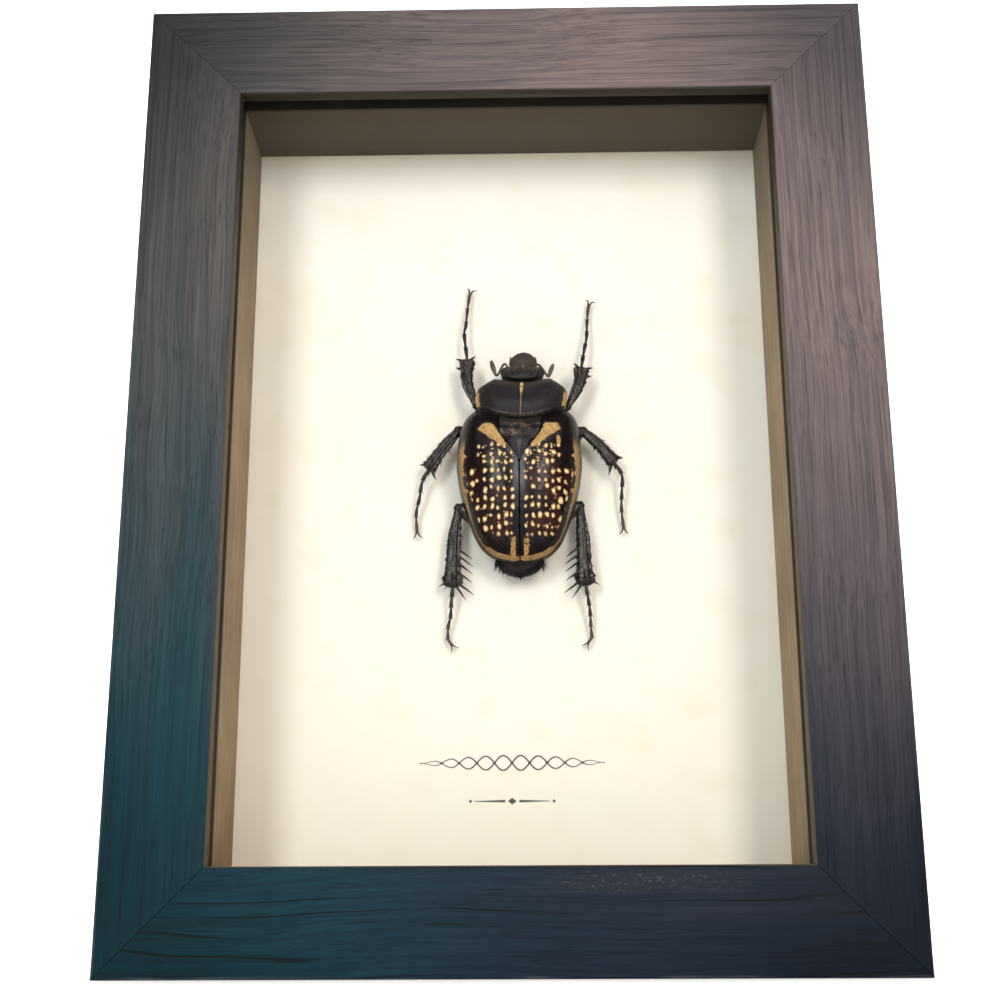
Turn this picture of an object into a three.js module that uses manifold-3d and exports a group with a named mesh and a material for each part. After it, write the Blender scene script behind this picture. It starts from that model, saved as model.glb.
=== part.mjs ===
// A flower beetle, set with its legs spread, in a glazed shadow-box frame of dark stained wood.
// Millimetres. +Z is up, the front of the frame looks along -Y, and the origin is under the middle
// of the whole thing, on the surface that it stands on.
import * as THREE from "three";
import { mergeVertices } from "three/addons/utils/BufferGeometryUtils.js";
import Module from "manifold-3d";

const wasm = await Module();
wasm.setup();

// Frame: driving dimensions
const FRAME_WIDTH = 152;
const FRAME_HEIGHT = 200;
const FRAME_DEPTH = 38;
const FACE_WIDTH = 20; // of the moulding, seen from the front
const LIP_THICKNESS = 3.7; // of the wood in front of the glass
const REBATE_WIDTH = 6.5; // from the sight edge out to the wall that the glass sits in
const GAP = 0.3; // between pieces that touch
const GLASS_THICKNESS = 3.0;
const CARD_FACE = 28.3; // from the front of the frame to the face of the card
const CARD_THICKNESS = 2.0;
const BACKING_THICKNESS = 3.0;
const PANE_CLEARANCE = 0.4; // all round the glass, the card and the backing board
const SPACER_SETBACK = 0.2; // of the spacers' inner faces from the sight edge

// Fixings on the back
const POINT = { length: 12, width: 5, thickness: 0.8 };
const POINT_HEIGHTS = [-55, 0, 55]; // from the frame's middle, on both long sides
const HANGER = { length: 45, height: 9, thickness: 0.8, teeth: 13, toothDepth: 1.6 };
const HANGER_DROP = 2.5; // from the top of the frame to the top edge of the hanger
const NAIL = { head: 2.0, shank: 0.6, hole: 0.9, depth: 9, headThickness: 0.8, inset: 4 };
const NAIL_END_ROOM = 1; // beyond the nail's point, at the end of its hole

// Beetle: driving dimensions, with x to the right, y towards the head and z out of the card
const BEETLE_X = 2.35; // of its middle, from the frame's middle
const BEETLE_Z = 3.7;
const LEAN = 0.05; // sideways for each millimetre forwards, in front of LEAN_START
const LEAN_START = 3;
const SHELL = 0.8; // thickness of a wing case
const CLAW_SPREAD = 0.4; // radians to each side of the claws' middle line
const BODY_FRONT = 7.9; // of the wing cases and the belly, behind the pronotum
const BOW_START = 3; // where lines across the body begin to bow forwards at the sides

// Half widths and heights along the body, each as [y, value]
const WING_CASE_OUTLINE = [
  [-21.6, 1.6], [-21.3, 3.3], [-20.3, 5.9], [-17.4, 8.6], [-10.9, 11.1],
  [-4.6, 12.7], [0, 13.15], [4, 12.85], [6, 12.2], [7.4, 10.9], [8.2, 8.8],
];
const WING_CASE_CROWN = [
  [-21.6, 7.8], [-20.3, 9.4], [-17, 12.2], [-11, 14.3], [-3, 15.2], [5, 14.7], [8.2, 13.3],
];
const WING_CASE_MARGIN = [[-21.6, 6.6], [-17, 6.4], [-8, 6.1], [3, 6.7], [8.2, 9.2]];
const WING_CASE_INNER = [[-21.6, 0.16], [-2.5, 0.16], [3.3, 3.5], [4.8, 4.6], [8.2, 4.95]];
const SCUTELLUM_OUTLINE = [[-1.6, 0.1], [0.5, 1.08], [3.3, 2.9], [4.8, 4.05], [8.0, 4.3]];
const BELLY_OUTLINE = [
  [-23.8, 1.0], [-23.4, 2.9], [-22.4, 4.6], [-20, 5.3], [-17.4, 6.6],
  [-10.9, 9.7], [-3, 11.6], [4, 11.7], [6.5, 10.8], [8.2, 8.4],
];
const BELLY_TOP = [
  [-23.8, 3.6], [-23.2, 4.7], [-22.3, 5.4], [-20.6, 6.5], [-17, 9.8],
  [-11, 12.8], [-3, 13.8], [5, 13.2], [8.2, 11.7],
];
const BELLY_SIDE = [[-23.8, 3.1], [-20, 4.8], [-8, 4.9], [4, 5.2], [8.2, 5.6]];
const BELLY_BOTTOM = [[-23.8, 2.6], [-22, 1.8], [-14, 0.8], [-5, 0.35], [3, 0.35], [8.2, 2.2]];

const PRONOTUM = {
  // s runs from the rear edge, 0, to the front edge, 1
  outline: [[0, 9.3], [0.35, 9.8], [0.6, 9.5], [0.84, 7.9], [1, 6.0]],
  crown: [[0, 13.9], [0.3, 14.2], [0.7, 12.9], [1, 11.1]],
  side: [[0, 8.4], [1, 7.7]],
  bottom: [[0, 2.6], [0.4, 1.8], [1, 4.2]],
  rearMiddle: 8.6, rearSide: 11.6, frontMiddle: 16.7, frontSide: 18.5,
};
const HEAD = {
  // s runs from the neck, 0, to the front edge, 1
  outline: [
    [0, 4.4], [0.18, 4.6], [0.36, 4.0], [0.48, 2.85], [0.72, 3.1], [0.88, 2.7], [0.96, 1.9], [1, 0.9],
  ],
  crown: [[0, 10.7], [0.2, 10.5], [0.5, 9.2], [0.8, 7.7], [1, 6.9]],
  side: [[0, 7.4], [0.5, 7.2], [1, 6.5]],
  bottom: [[0, 4.6], [0.5, 5.2], [1, 6.2]],
  front: 25.2,
};
const NECK_GAP = 0.95; // between the pronotum and the head
const EYE = { x: 3.5, y: 20.1, z: 7.9, radius: 1.25 };

// Legs: joints as [x, y, z]. Radii are across the limb; flat is its thickness over its width.
// Teeth stand along the shin as [share of its length, side, length], with the side +1 outwards.
const FRONT_LEG = { thigh: [1.9, 1.5], shin: [0.75, 1.5], flat: 0.55 };
const MIDDLE_LEG = { thigh: [1.9, 1.7], shin: [1.0, 1.4], flat: 0.62 };
const HIND_LEG = {
  thigh: [2.3, 1.8], shin: [0.95, 1.75], flat: 0.55,
  teeth: [
    [0.57, -1, 2.8], [0.65, -1, 3.0], [0.74, -1, 3.0], [0.85, -1, 3.0],
    [0.98, -1, 3.4], [1.0, -0.5, 3.1], [0.97, 1, 1.9],
  ],
};
const LEGS = {
  front_leg_left: {
    ...FRONT_LEG,
    hip: [-4.3, 12.7, 4.0], knee: [-9.1, 13.1, 6.2], bend: [-11.1, 18.9, 5.8], heel: [-11.1, 24.5, 5.0],
    foot: [[-11.8, 30.7, 3.6], [-11.5, 33.0, 3.0], [-11.2, 37.0, 2.2], [-10.8, 40.7, 1.4]],
    claws: { way: [0.3, 1], length: 2.4 },
    teeth: [[0.82, 1, 1.9], [1.0, 1, 2.0], [1.0, -1, 1.6]],
  },
  front_leg_right: {
    ...FRONT_LEG,
    hip: [4.7, 12.5, 4.0], knee: [10.4, 12.7, 6.2], bend: [12.9, 18.0, 5.8], heel: [13.6, 22.4, 5.0],
    foot: [[14.3, 26.6, 3.9], [14.9, 29.8, 3.2], [15.1, 33.6, 2.3], [15.5, 37.7, 1.4]],
    claws: { way: [0.3, 1], length: 2.3 },
    teeth: [[0.8, 1, 1.9], [1.0, 1, 2.0], [1.0, -1, 1.6]],
  },
  middle_leg_left: {
    ...MIDDLE_LEG,
    hip: [-6.3, 5.7, 2.6], knee: [-12.9, 8.4, 4.4], bend: [-16.4, 4.1, 4.6], heel: [-19.5, -0.5, 4.6],
    foot: [[-20.7, -3.0, 3.9], [-21.3, -6.3, 3.0], [-22.0, -9.4, 2.2], [-21.9, -12.7, 1.4]],
    claws: { way: [0.1, -1], length: 2.2 },
    teeth: [[0.72, -1, 1.3], [0.98, 1, 1.7], [1.0, -1, 2.4], [1.0, -0.3, 1.8]],
  },
  middle_leg_right: {
    ...MIDDLE_LEG,
    hip: [6.6, 5.3, 2.6], knee: [13.6, 8.0, 4.4], bend: [17.2, 4.6, 4.6], heel: [20.4, 0.6, 4.6],
    foot: [[21.8, -1.9, 3.9], [21.7, -5.4, 3.0], [21.6, -8.7, 2.2], [21.9, -12.1, 1.4]],
    claws: { way: [0.08, -1], length: 2.3 },
    teeth: [[0.72, -1, 1.4], [0.98, 1, 1.7], [1.0, -1, 2.7], [1.0, -0.3, 1.8]],
  },
  hind_leg_left: {
    ...HIND_LEG,
    hip: [-5.7, -12.2, 2.8], knee: [-12.9, -8.7, 4.3], bend: [-13.8, -16.5, 4.3], heel: [-14.1, -26.2, 4.2],
    foot: [[-14.4, -29.0, 3.4], [-14.6, -31.9, 2.6], [-15.1, -34.0, 2.0], [-15.2, -36.5, 1.4]],
    claws: { way: [0.7, -1], length: 2.9 },
  },
  hind_leg_right: {
    ...HIND_LEG,
    hip: [5.4, -11.8, 2.8], knee: [12.7, -8.4, 4.3], bend: [13.3, -16.3, 4.3], heel: [13.6, -26.0, 4.2],
    foot: [[14.2, -29.0, 3.4], [14.5, -31.6, 2.6], [14.6, -34.0, 2.0], [14.8, -36.3, 1.4]],
    claws: { way: [-0.7, -1], length: 2.9 },
  },
};
// Antennae: the stalk's points, then the club from its root to its tip
const ANTENNAE = {
  antenna_left: {
    stalk: [[-2.0, 21.7, 5.9], [-3.1, 22.7, 6.4], [-4.3, 20.5, 6.4], [-4.85, 20.05, 6.3]],
    club: [[-4.85, 19.95, 6.3], [-5.95, 23.6, 6.2]],
  },
  antenna_right: {
    stalk: [[3.2, 21.5, 5.9], [4.3, 22.5, 6.4], [5.9, 20.35, 6.4], [6.45, 19.65, 6.3]],
    club: [[6.45, 19.55, 6.3], [7.45, 22.7, 6.2]],
  },
};

// Materials
const stainedWood = new THREE.MeshStandardMaterial({ color: 0x2b2c30, roughness: 0.6 });
const spacerBoard = new THREE.MeshStandardMaterial({ color: 0x4a3b2b, roughness: 0.8 });
const clearGlass = new THREE.MeshStandardMaterial({
  color: 0xe8f0ee, roughness: 0.05, transparent: true, opacity: 0.15,
});
const ivoryCard = new THREE.MeshStandardMaterial({ color: 0xf3ecd6, roughness: 0.9 });
const brownBoard = new THREE.MeshStandardMaterial({ color: 0x6b4a2e, roughness: 0.9 });
const plainSteel = new THREE.MeshStandardMaterial({ color: 0xa9a7a0, roughness: 0.35, metalness: 1 });
const blackShell = new THREE.MeshStandardMaterial({ color: 0x1d1517, roughness: 0.45 });
const spottedShell = new THREE.MeshStandardMaterial({ color: 0x2a1a18, roughness: 0.4 });

// A smooth function of one number through a list of [number, value] pairs in rising order,
// which never swings past the values on either side.
function through(pairs) {
  const steep = (i) => (pairs[i + 1][1] - pairs[i][1]) / (pairs[i + 1][0] - pairs[i][0]);
  const slope = pairs.map((_, i) => {
    if (i === 0) return steep(0);
    if (i === pairs.length - 1) return steep(i - 1);
    const [before, after] = [steep(i - 1), steep(i)];
    return before * after > 0 ? (2 * before * after) / (before + after) : 0;
  });
  return (t) => {
    let i = pairs.findIndex((pair) => t <= pair[0]) - 1;
    if (i < 0) i = t <= pairs[0][0] ? 0 : pairs.length - 2;
    const width = pairs[i + 1][0] - pairs[i][0];
    const u = THREE.MathUtils.clamp((t - pairs[i][0]) / width, 0, 1);
    const [h, k] = [u * u * (3 - 2 * u), u * (1 - u)];
    return (
      pairs[i][1] * (1 - h) + pairs[i + 1][1] * h +
      width * k * (slope[i] * (1 - u) - slope[i + 1] * u)
    );
  };
}

// A closed surface through rings of equally many points, each end closed by a fan on its middle.
function loft(rings) {
  const count = rings[0].length;
  const points = rings.flat();
  const faces = [];
  for (let r = 0; r + 1 < rings.length; r++)
    for (let i = 0; i < count; i++) {
      const [a, b] = [r * count + i, r * count + ((i + 1) % count)];
      faces.push(a, b, b + count, a, b + count, a + count);
    }
  for (const [ring, start] of [[rings[0], 0], [rings.at(-1), (rings.length - 1) * count]]) {
    const middle = new THREE.Vector3();
    ring.forEach((p) => middle.addScaledVector(p, 1 / count));
    points.push(middle);
    for (let i = 0; i < count; i++) {
      const [a, b] = [start + i, start + ((i + 1) % count)];
      faces.push(...(start ? [a, b, points.length - 1] : [b, a, points.length - 1]));
    }
  }
  let volume = 0;
  for (let f = 0; f < faces.length; f += 3) {
    const [a, b, c] = [points[faces[f]], points[faces[f + 1]], points[faces[f + 2]]];
    volume += a.dot(new THREE.Vector3().crossVectors(b, c));
  }
  if (volume < 0) faces.reverse();
  return new THREE.BufferGeometry().setFromPoints(points).setIndex(faces);
}

function solidFrom(geometry) {
  const bare = geometry.index ? geometry.toNonIndexed() : geometry.clone();
  bare.deleteAttribute("normal");
  bare.deleteAttribute("uv");
  const merged = mergeVertices(bare, 1e-4);
  return new wasm.Manifold(
    new wasm.Mesh({
      numProp: 3,
      vertProperties: merged.attributes.position.array,
      triVerts: new Uint32Array(merged.index.array),
    }),
  );
}

function geometryFrom(solid) {
  const mesh = solid.getMesh();
  return new THREE.BufferGeometry()
    .setAttribute("position", new THREE.BufferAttribute(mesh.vertProperties, 3))
    .setIndex(new THREE.BufferAttribute(mesh.triVerts, 1));
}

function joined(geometries) {
  return geometries.map(solidFrom).reduce((whole, piece) => whole.add(piece));
}

function named(name, geometry, material) {
  const mesh = new THREE.Mesh(geometry, material);
  mesh.name = name;
  return mesh;
}

// A box between two depths behind the front of the frame, centred on (x, z).
function slab(width, front, back, height, x = 0, z = 0) {
  return new THREE.BoxGeometry(width, back - front, height).translate(x, (front + back) / 2, z);
}

// Frame: one mitred length of moulding, with its outer edge down and its face towards -Y
function mouldingLength(outerLength) {
  const inner = FACE_WIDTH - REBATE_WIDTH;
  const section = new THREE.Shape([
    new THREE.Vector2(0, 0),
    new THREE.Vector2(0, FRAME_DEPTH),
    new THREE.Vector2(inner, FRAME_DEPTH),
    new THREE.Vector2(inner, LIP_THICKNESS),
    new THREE.Vector2(FACE_WIDTH, LIP_THICKNESS),
    new THREE.Vector2(FACE_WIDTH, 0),
  ]);
  const bar = new THREE.ExtrudeGeometry(section, { depth: outerLength, bevelEnabled: false });
  const position = bar.attributes.position;
  const mitreGap = GAP / Math.SQRT2;
  for (let i = 0; i < position.count; i++) {
    const [across, depth, along] = [position.getX(i), position.getY(i), position.getZ(i)];
    const end = Math.sign(outerLength / 2 - along);
    position.setXYZ(i, end * (outerLength / 2 - across - mitreGap), depth, across);
  }
  return bar;
}

function frameMembers() {
  const rail = () => mouldingLength(FRAME_WIDTH).translate(0, 0, -FRAME_HEIGHT / 2);
  const stile = () => mouldingLength(FRAME_HEIGHT).translate(0, 0, -FRAME_WIDTH / 2);
  const holeEnd = FRAME_DEPTH - NAIL.depth - NAIL_END_ROOM;
  const hole = solidFrom(rod(NAIL.hole, holeEnd, FRAME_DEPTH + NAIL_END_ROOM));
  const topRail = nailPlaces().reduce(
    (wood, [x, z]) => wood.subtract(hole.translate([x, 0, z])), solidFrom(rail().rotateY(Math.PI)));
  return [
    named("rail_top", geometryFrom(topRail), stainedWood),
    named("rail_bottom", rail(), stainedWood),
    named("stile_left", stile().rotateY(Math.PI / 2), stainedWood),
    named("stile_right", stile().rotateY(-Math.PI / 2), stainedWood),
  ];
}

// A round bar along the depth of the frame.
function rod(radius, front, back) {
  return new THREE.CylinderGeometry(radius, radius, back - front, 10).translate(0, (front + back) / 2, 0);
}

// Glass, spacers, card and backing board, stacked in the rebate
const SIGHT_WIDTH = FRAME_WIDTH - 2 * FACE_WIDTH;
const SIGHT_HEIGHT = FRAME_HEIGHT - 2 * FACE_WIDTH;
const PANE_WIDTH = SIGHT_WIDTH + 2 * (REBATE_WIDTH - PANE_CLEARANCE);
const PANE_HEIGHT = SIGHT_HEIGHT + 2 * (REBATE_WIDTH - PANE_CLEARANCE);
const GLASS_FRONT = LIP_THICKNESS + GAP;
const SPACER_FRONT = GLASS_FRONT + GLASS_THICKNESS + GAP;
const SPACER_BACK = CARD_FACE - GAP;
const BACKING_FRONT = CARD_FACE + CARD_THICKNESS + GAP;
const POINT_FRONT = BACKING_FRONT + BACKING_THICKNESS + GAP;

function panes() {
  const sheet = (front, thickness) => slab(PANE_WIDTH, front, front + thickness, PANE_HEIGHT);
  return [
    named("glass", sheet(GLASS_FRONT, GLASS_THICKNESS), clearGlass),
    named("mount_card", sheet(CARD_FACE, CARD_THICKNESS), ivoryCard),
    named("backing_board", sheet(BACKING_FRONT, BACKING_THICKNESS), brownBoard),
  ];
}

function spacers() {
  const thick = REBATE_WIDTH - PANE_CLEARANCE - SPACER_SETBACK;
  const x = (PANE_WIDTH - thick) / 2;
  const z = (PANE_HEIGHT - thick) / 2;
  const sideHeight = PANE_HEIGHT - 2 * (thick + GAP);
  return [
    named("spacer_top", slab(PANE_WIDTH, SPACER_FRONT, SPACER_BACK, thick, 0, z), spacerBoard),
    named("spacer_bottom", slab(PANE_WIDTH, SPACER_FRONT, SPACER_BACK, thick, 0, -z), spacerBoard),
    named("spacer_left", slab(thick, SPACER_FRONT, SPACER_BACK, sideHeight, -x), spacerBoard),
    named("spacer_right", slab(thick, SPACER_FRONT, SPACER_BACK, sideHeight, x), spacerBoard),
  ];
}

// Flat steel points over the backing board, a toothed hanger, and its two nails
function retainingPoints() {
  const edge = SIGHT_WIDTH / 2 + REBATE_WIDTH - GAP - POINT.length / 2;
  return [["left", -1], ["right", 1]].flatMap(([side, sign]) =>
    POINT_HEIGHTS.map((z, i) => named(
      `point_${side}_${i + 1}`,
      slab(POINT.length, POINT_FRONT, POINT_FRONT + POINT.thickness, POINT.width, sign * edge, z),
      plainSteel,
    )));
}

function nailPlaces() {
  const x = HANGER.length / 2 - NAIL.inset;
  const z = FRAME_HEIGHT / 2 - HANGER_DROP - HANGER.height / 2;
  return [[-x, z], [x, z]];
}

function hanger() {
  const { length, height, thickness, teeth, toothDepth } = HANGER;
  const outline = new THREE.Shape()
    .moveTo(length / 2, 0).lineTo(length / 2, height).lineTo(-length / 2, height).lineTo(-length / 2, 0);
  const toothed = length - 4 * NAIL.inset;
  for (let i = 0; i < teeth; i++) {
    const left = -toothed / 2 + (toothed * i) / teeth;
    outline.lineTo(left, 0).lineTo(left + toothed / teeth / 2, toothDepth);
  }
  outline.lineTo(toothed / 2, 0).closePath();
  const plate = new THREE.ExtrudeGeometry(outline, { depth: thickness, bevelEnabled: false })
    .rotateX(Math.PI / 2)
    .translate(0, FRAME_DEPTH + GAP + thickness, FRAME_HEIGHT / 2 - HANGER_DROP - height);
  const hole = solidFrom(rod(NAIL.hole, FRAME_DEPTH, FRAME_DEPTH + 3 * thickness));
  return geometryFrom(nailPlaces().reduce(
    (steel, [x, z]) => steel.subtract(hole.translate([x, 0, z])), solidFrom(plate)));
}

function nail([x, z]) {
  const under = FRAME_DEPTH + 2 * GAP + HANGER.thickness;
  return geometryFrom(joined([
    rod(NAIL.head, under, under + NAIL.headThickness),
    rod(NAIL.shank, FRAME_DEPTH - NAIL.depth, under + NAIL.headThickness / 2),
  ]).translate([x, 0, z]));
}

function wallFixings() {
  const [left, right] = nailPlaces();
  return [
    named("hanger", hanger(), plainSteel),
    named("hanger_nail_left", nail(left), plainSteel),
    named("hanger_nail_right", nail(right), plainSteel),
  ];
}

// Beetle: sections across the body
const SIDE_STEPS = 7;

// Height of a rounded back at a share of its half width, from 0 at the middle to 1 at the margin.
function domed(share, crown, margin, squareness = 2.8) {
  return margin + (crown - margin) * Math.sqrt(Math.max(1 - Math.abs(share) ** squareness, 0));
}

// Shares of the half width, packed towards the margin where the back turns down.
const MARGIN_SHARES = Array.from(
  { length: SIDE_STEPS + 1 }, (_, i) => Math.sin((i / SIDE_STEPS) * Math.PI / 2));

// A closed body from a plan and heights along it. grow makes it bigger all round.
function bodyShape(stations, spec, place, grow = 0) {
  const [outline, crown, side, bottom] = [spec.outline, spec.crown, spec.side, spec.bottom].map(through);
  return loft(stations.map((s) => {
    const half = outline(s) + grow;
    const ring = [];
    const upper = [...MARGIN_SHARES.slice().reverse().map((m) => -m), ...MARGIN_SHARES.slice(1)];
    for (const m of upper) ring.push(place(s, m * half, domed(m, crown(s) + grow, side(s))));
    for (const m of upper.slice(1, -1).reverse())
      ring.push(place(s, m * half, domed(m, bottom(s) - grow, side(s), 2.2)));
    return ring;
  }));
}

// Where the pronotum's rear and front edges run across the body.
function edgeAcross(middle, side, half) {
  return (x) => middle + (side - middle) * Math.min((x / half) ** 2, 1);
}
const pronotumRear = edgeAcross(PRONOTUM.rearMiddle, PRONOTUM.rearSide, PRONOTUM.outline[0][1]);
const pronotumFront = edgeAcross(PRONOTUM.frontMiddle, PRONOTUM.frontSide, PRONOTUM.outline.at(-1)[1]);

// The front of the body leans a little to one side.
function leaned(x, y, z) {
  return new THREE.Vector3(x + LEAN * Math.max(y - LEAN_START, 0), y, z);
}

// Towards the pronotum, lines across the body bow forwards at the sides, as its rear edge does.
function bowed(y, x, z) {
  const share = THREE.MathUtils.clamp((y - BOW_START) / (BODY_FRONT - BOW_START), 0, 1);
  return leaned(x, y + share * (pronotumRear(x) - PRONOTUM.rearMiddle), z);
}

function belly(grow = 0) {
  const stations = [-23.8 - grow, -23.5, -23, -22.2, -20.6, -18, -14, -9, -4, 1, 5, 7, BODY_FRONT - 0.2];
  return bodyShape(stations, {
    outline: BELLY_OUTLINE, crown: BELLY_TOP, side: BELLY_SIDE, bottom: BELLY_BOTTOM }, bowed, grow);
}

function pronotum(grow = 0) {
  const stations = [0, 0.08, 0.2, 0.35, 0.5, 0.65, 0.8, 0.92, 1];
  return bodyShape(stations, PRONOTUM, (s, x, z) => {
    const [rear, front] = [pronotumRear(x) - grow, pronotumFront(x) + grow];
    return leaned(x, rear + (front - rear) * s, z);
  }, grow);
}

function head(grow = 0) {
  const stations = [0, 0.1, 0.2, 0.3, 0.42, 0.55, 0.7, 0.82, 0.92, 0.98, 1];
  const skull = bodyShape(stations, HEAD, (s, x, z) => {
    const rear = pronotumFront(x) + NECK_GAP;
    return leaned(x, rear + (HEAD.front + grow - rear) * s, z);
  }, grow);
  const eyes = [-1, 1].map((side) =>
    new THREE.SphereGeometry(EYE.radius + grow, 12, 8).translate(...leaned(side * EYE.x, EYE.y, EYE.z)));
  return joined([skull, ...eyes]);
}

// One wing case: a curved shell from the seam down the back out to the margin.
function wingCase(side) {
  const [outline, crown, margin, inner] = [
    WING_CASE_OUTLINE, WING_CASE_CROWN, WING_CASE_MARGIN, WING_CASE_INNER].map(through);
  const stations = [
    -21.6, -21.45, -21.0, -20.1, -18.5, -16, -13, -9, -5, -2.3,
    0.5, 3.3, 4.8, 6, 7, BODY_FRONT - 0.1, BODY_FRONT];
  return loft(stations.map((y) => {
    const [half, start, top, low] = [outline(y), inner(y), crown(y), margin(y)];
    const ring = [];
    for (const m of MARGIN_SHARES) {
      const x = start + (half - start) * m;
      ring.push(bowed(y, side * x, domed(x / half, top, low)));
    }
    for (const m of MARGIN_SHARES.slice().reverse()) {
      const x = start + (half - SHELL - start) * m;
      ring.push(bowed(y, side * x, domed(x / (half - SHELL), top - SHELL, low)));
    }
    return ring;
  }));
}

// The plate and the triangle between the roots of the wing cases.
function scutellum() {
  const [outline, crown, caseOutline, margin] = [
    SCUTELLUM_OUTLINE, WING_CASE_CROWN, WING_CASE_OUTLINE, WING_CASE_MARGIN].map(through);
  const across = [-1, -0.5, 0, 0.5, 1];
  return loft([-1.6, 0.5, 3.3, 4.8, 6.5, 8.0].map((y) => {
    const half = outline(y);
    const height = (x) => domed(x / caseOutline(y), crown(y), margin(y));
    const top = across.map((m) => bowed(y, m * half, height(m * half)));
    const under = across.map((m) => bowed(y, m * half, height(m * half) - SHELL));
    return [...top, ...under.reverse()];
  }));
}

// A limb through points, wider than it is thick, with one radius at each point.
function limb(points, radii, flat = 1, sides = 8) {
  const up = new THREE.Vector3(0, 0, 1);
  return loft(points.map((point, i) => {
    const [before, after] = [points[Math.max(i - 1, 0)], points[Math.min(i + 1, points.length - 1)]];
    const ahead = after.clone().sub(before).normalize();
    const across = new THREE.Vector3().crossVectors(ahead, up).normalize();
    const over = new THREE.Vector3().crossVectors(across, ahead);
    return Array.from({ length: sides }, (_, k) => {
      const angle = ((k + 0.5) / sides) * 2 * Math.PI;
      return point.clone()
        .addScaledVector(across, Math.cos(angle) * radii[i])
        .addScaledVector(over, Math.sin(angle) * radii[i] * flat);
    });
  }));
}

const between = (a, b, share) => a.clone().lerp(b, share);

// A foot of five joints, each narrow at its root and wide at its end.
function footJoints(heel, foot) {
  const path = new THREE.CatmullRomCurve3([heel, ...foot.map((p) => new THREE.Vector3(...p))]);
  const [points, radii] = [[], []];
  const joints = 5;
  for (let j = 0; j < joints; j++)
    for (const [share, radius] of [[0.02, 0.3], [0.5, 0.42], [0.9, 0.55]]) {
      points.push(path.getPointAt((j + share) / joints));
      radii.push(radius * (1 - 0.05 * j));
    }
  return { geometry: limb(points, radii, 0.9, 6), end: path.getPointAt(1) };
}

function claw(from, way, turn, length) {
  const out = way.clone().applyAxisAngle(new THREE.Vector3(0, 0, 1), turn * CLAW_SPREAD);
  const middle = from.clone().addScaledVector(out, length * 0.55);
  const tip = from.clone().addScaledVector(out, length).addScaledVector(way, -length * 0.08);
  tip.z = Math.max(tip.z - 0.35 * length, 0.45);
  return limb([from.clone().addScaledVector(way, -0.4), middle, tip], [0.3, 0.24, 0.07], 1, 5);
}

// A tooth or spine on the shin, pointing outwards and on towards the foot.
function tooth(root, line, out, side, length, width) {
  const way = out.clone().multiplyScalar(side * 0.85).addScaledVector(line, 0.55).normalize();
  const start = root.clone().addScaledVector(out, side * width * 0.35);
  const tip = start.clone().addScaledVector(way, length);
  return limb([start, between(start, tip, 0.5), tip], [0.42, 0.3, 0.06], 1, 5);
}

function leg(spec) {
  const [hip, knee, bend, heel] = [spec.hip, spec.knee, spec.bend, spec.heel].map(
    (p) => new THREE.Vector3(...p));
  const thigh = limb(
    [hip, between(hip, knee, 0.35), between(hip, knee, 0.75), between(hip, knee, 1.06)],
    [spec.thigh[0] * 0.8, spec.thigh[0], spec.thigh[1], spec.thigh[1] * 0.55], 0.75);
  const [slim, broad] = spec.shin;
  const path = new THREE.CatmullRomCurve3([knee, bend, heel]);
  const shin = limb(
    [0, 0.12, 0.4, 0.7, 0.92, 1].map((share) => path.getPointAt(share)),
    [slim * 0.8, slim, (slim + broad) / 2, broad * 0.9, broad, broad * 0.7], spec.flat);
  const line = heel.clone().sub(knee).normalize();
  const out = new THREE.Vector3().crossVectors(line, new THREE.Vector3(0, 0, 1)).normalize();
  if (out.x * heel.x < 0) out.negate();
  const teeth = spec.teeth.map(([share, side, length]) =>
    tooth(path.getPointAt(share - 0.06), line, out, side, length, broad));
  const foot = footJoints(path.getPointAt(0.97), spec.foot);
  const way = new THREE.Vector3(...spec.claws.way, 0).normalize();
  const claws = [-1, 1].map((turn) => claw(foot.end, way, turn, spec.claws.length));
  return joined([thigh, shin, ...teeth, foot.geometry, ...claws]);
}

function antenna({ stalk, club }) {
  const path = new THREE.CatmullRomCurve3(stalk.map((p) => new THREE.Vector3(...p)));
  const [root, tip] = club.map((p) => new THREE.Vector3(...p));
  return joined([
    limb(path.getSpacedPoints(7), Array(8).fill(0.27), 1, 6),
    limb(
      [0, 0.2, 0.6, 0.9, 1].map((share) => between(root, tip, share)),
      [0.3, 0.62, 0.72, 0.45, 0.15], 0.55),
  ]);
}

function beetle() {
  const clearOf = [solidFrom(belly(GAP)), solidFrom(pronotum(GAP))];
  const headroom = head(GAP);
  const group = new THREE.Group();
  group.add(
    named("abdomen_and_thorax", belly(), blackShell),
    named("pronotum", pronotum(), blackShell),
    named("head", geometryFrom(head()), blackShell),
    named("scutellum", scutellum(), blackShell),
    named("wing_case_left", wingCase(-1), spottedShell),
    named("wing_case_right", wingCase(1), spottedShell),
  );
  for (const [name, spec] of Object.entries(LEGS)) {
    const whole = clearOf.reduce((solid, body) => solid.subtract(body), leg(spec));
    group.add(named(name, geometryFrom(whole), blackShell));
  }
  for (const [name, spec] of Object.entries(ANTENNAE))
    group.add(named(name, geometryFrom(antenna(spec).subtract(headroom)), blackShell));
  return group;
}

// Whole: the card's face is the beetle's floor, and the frame stands on its bottom rail
const onCard = new THREE.Group();
onCard.add(beetle());
onCard.rotation.x = Math.PI / 2;
onCard.position.set(BEETLE_X, CARD_FACE, BEETLE_Z);

const framed = new THREE.Group();
const HANGER_BACK = FRAME_DEPTH + 2 * GAP + HANGER.thickness + NAIL.headThickness;
framed.add(...frameMembers(), ...panes(), ...spacers(), ...retainingPoints(), ...wallFixings(), onCard);
framed.position.set(0, -HANGER_BACK / 2, FRAME_HEIGHT / 2);

const group = new THREE.Group();
group.add(framed);
export default group;
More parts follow.
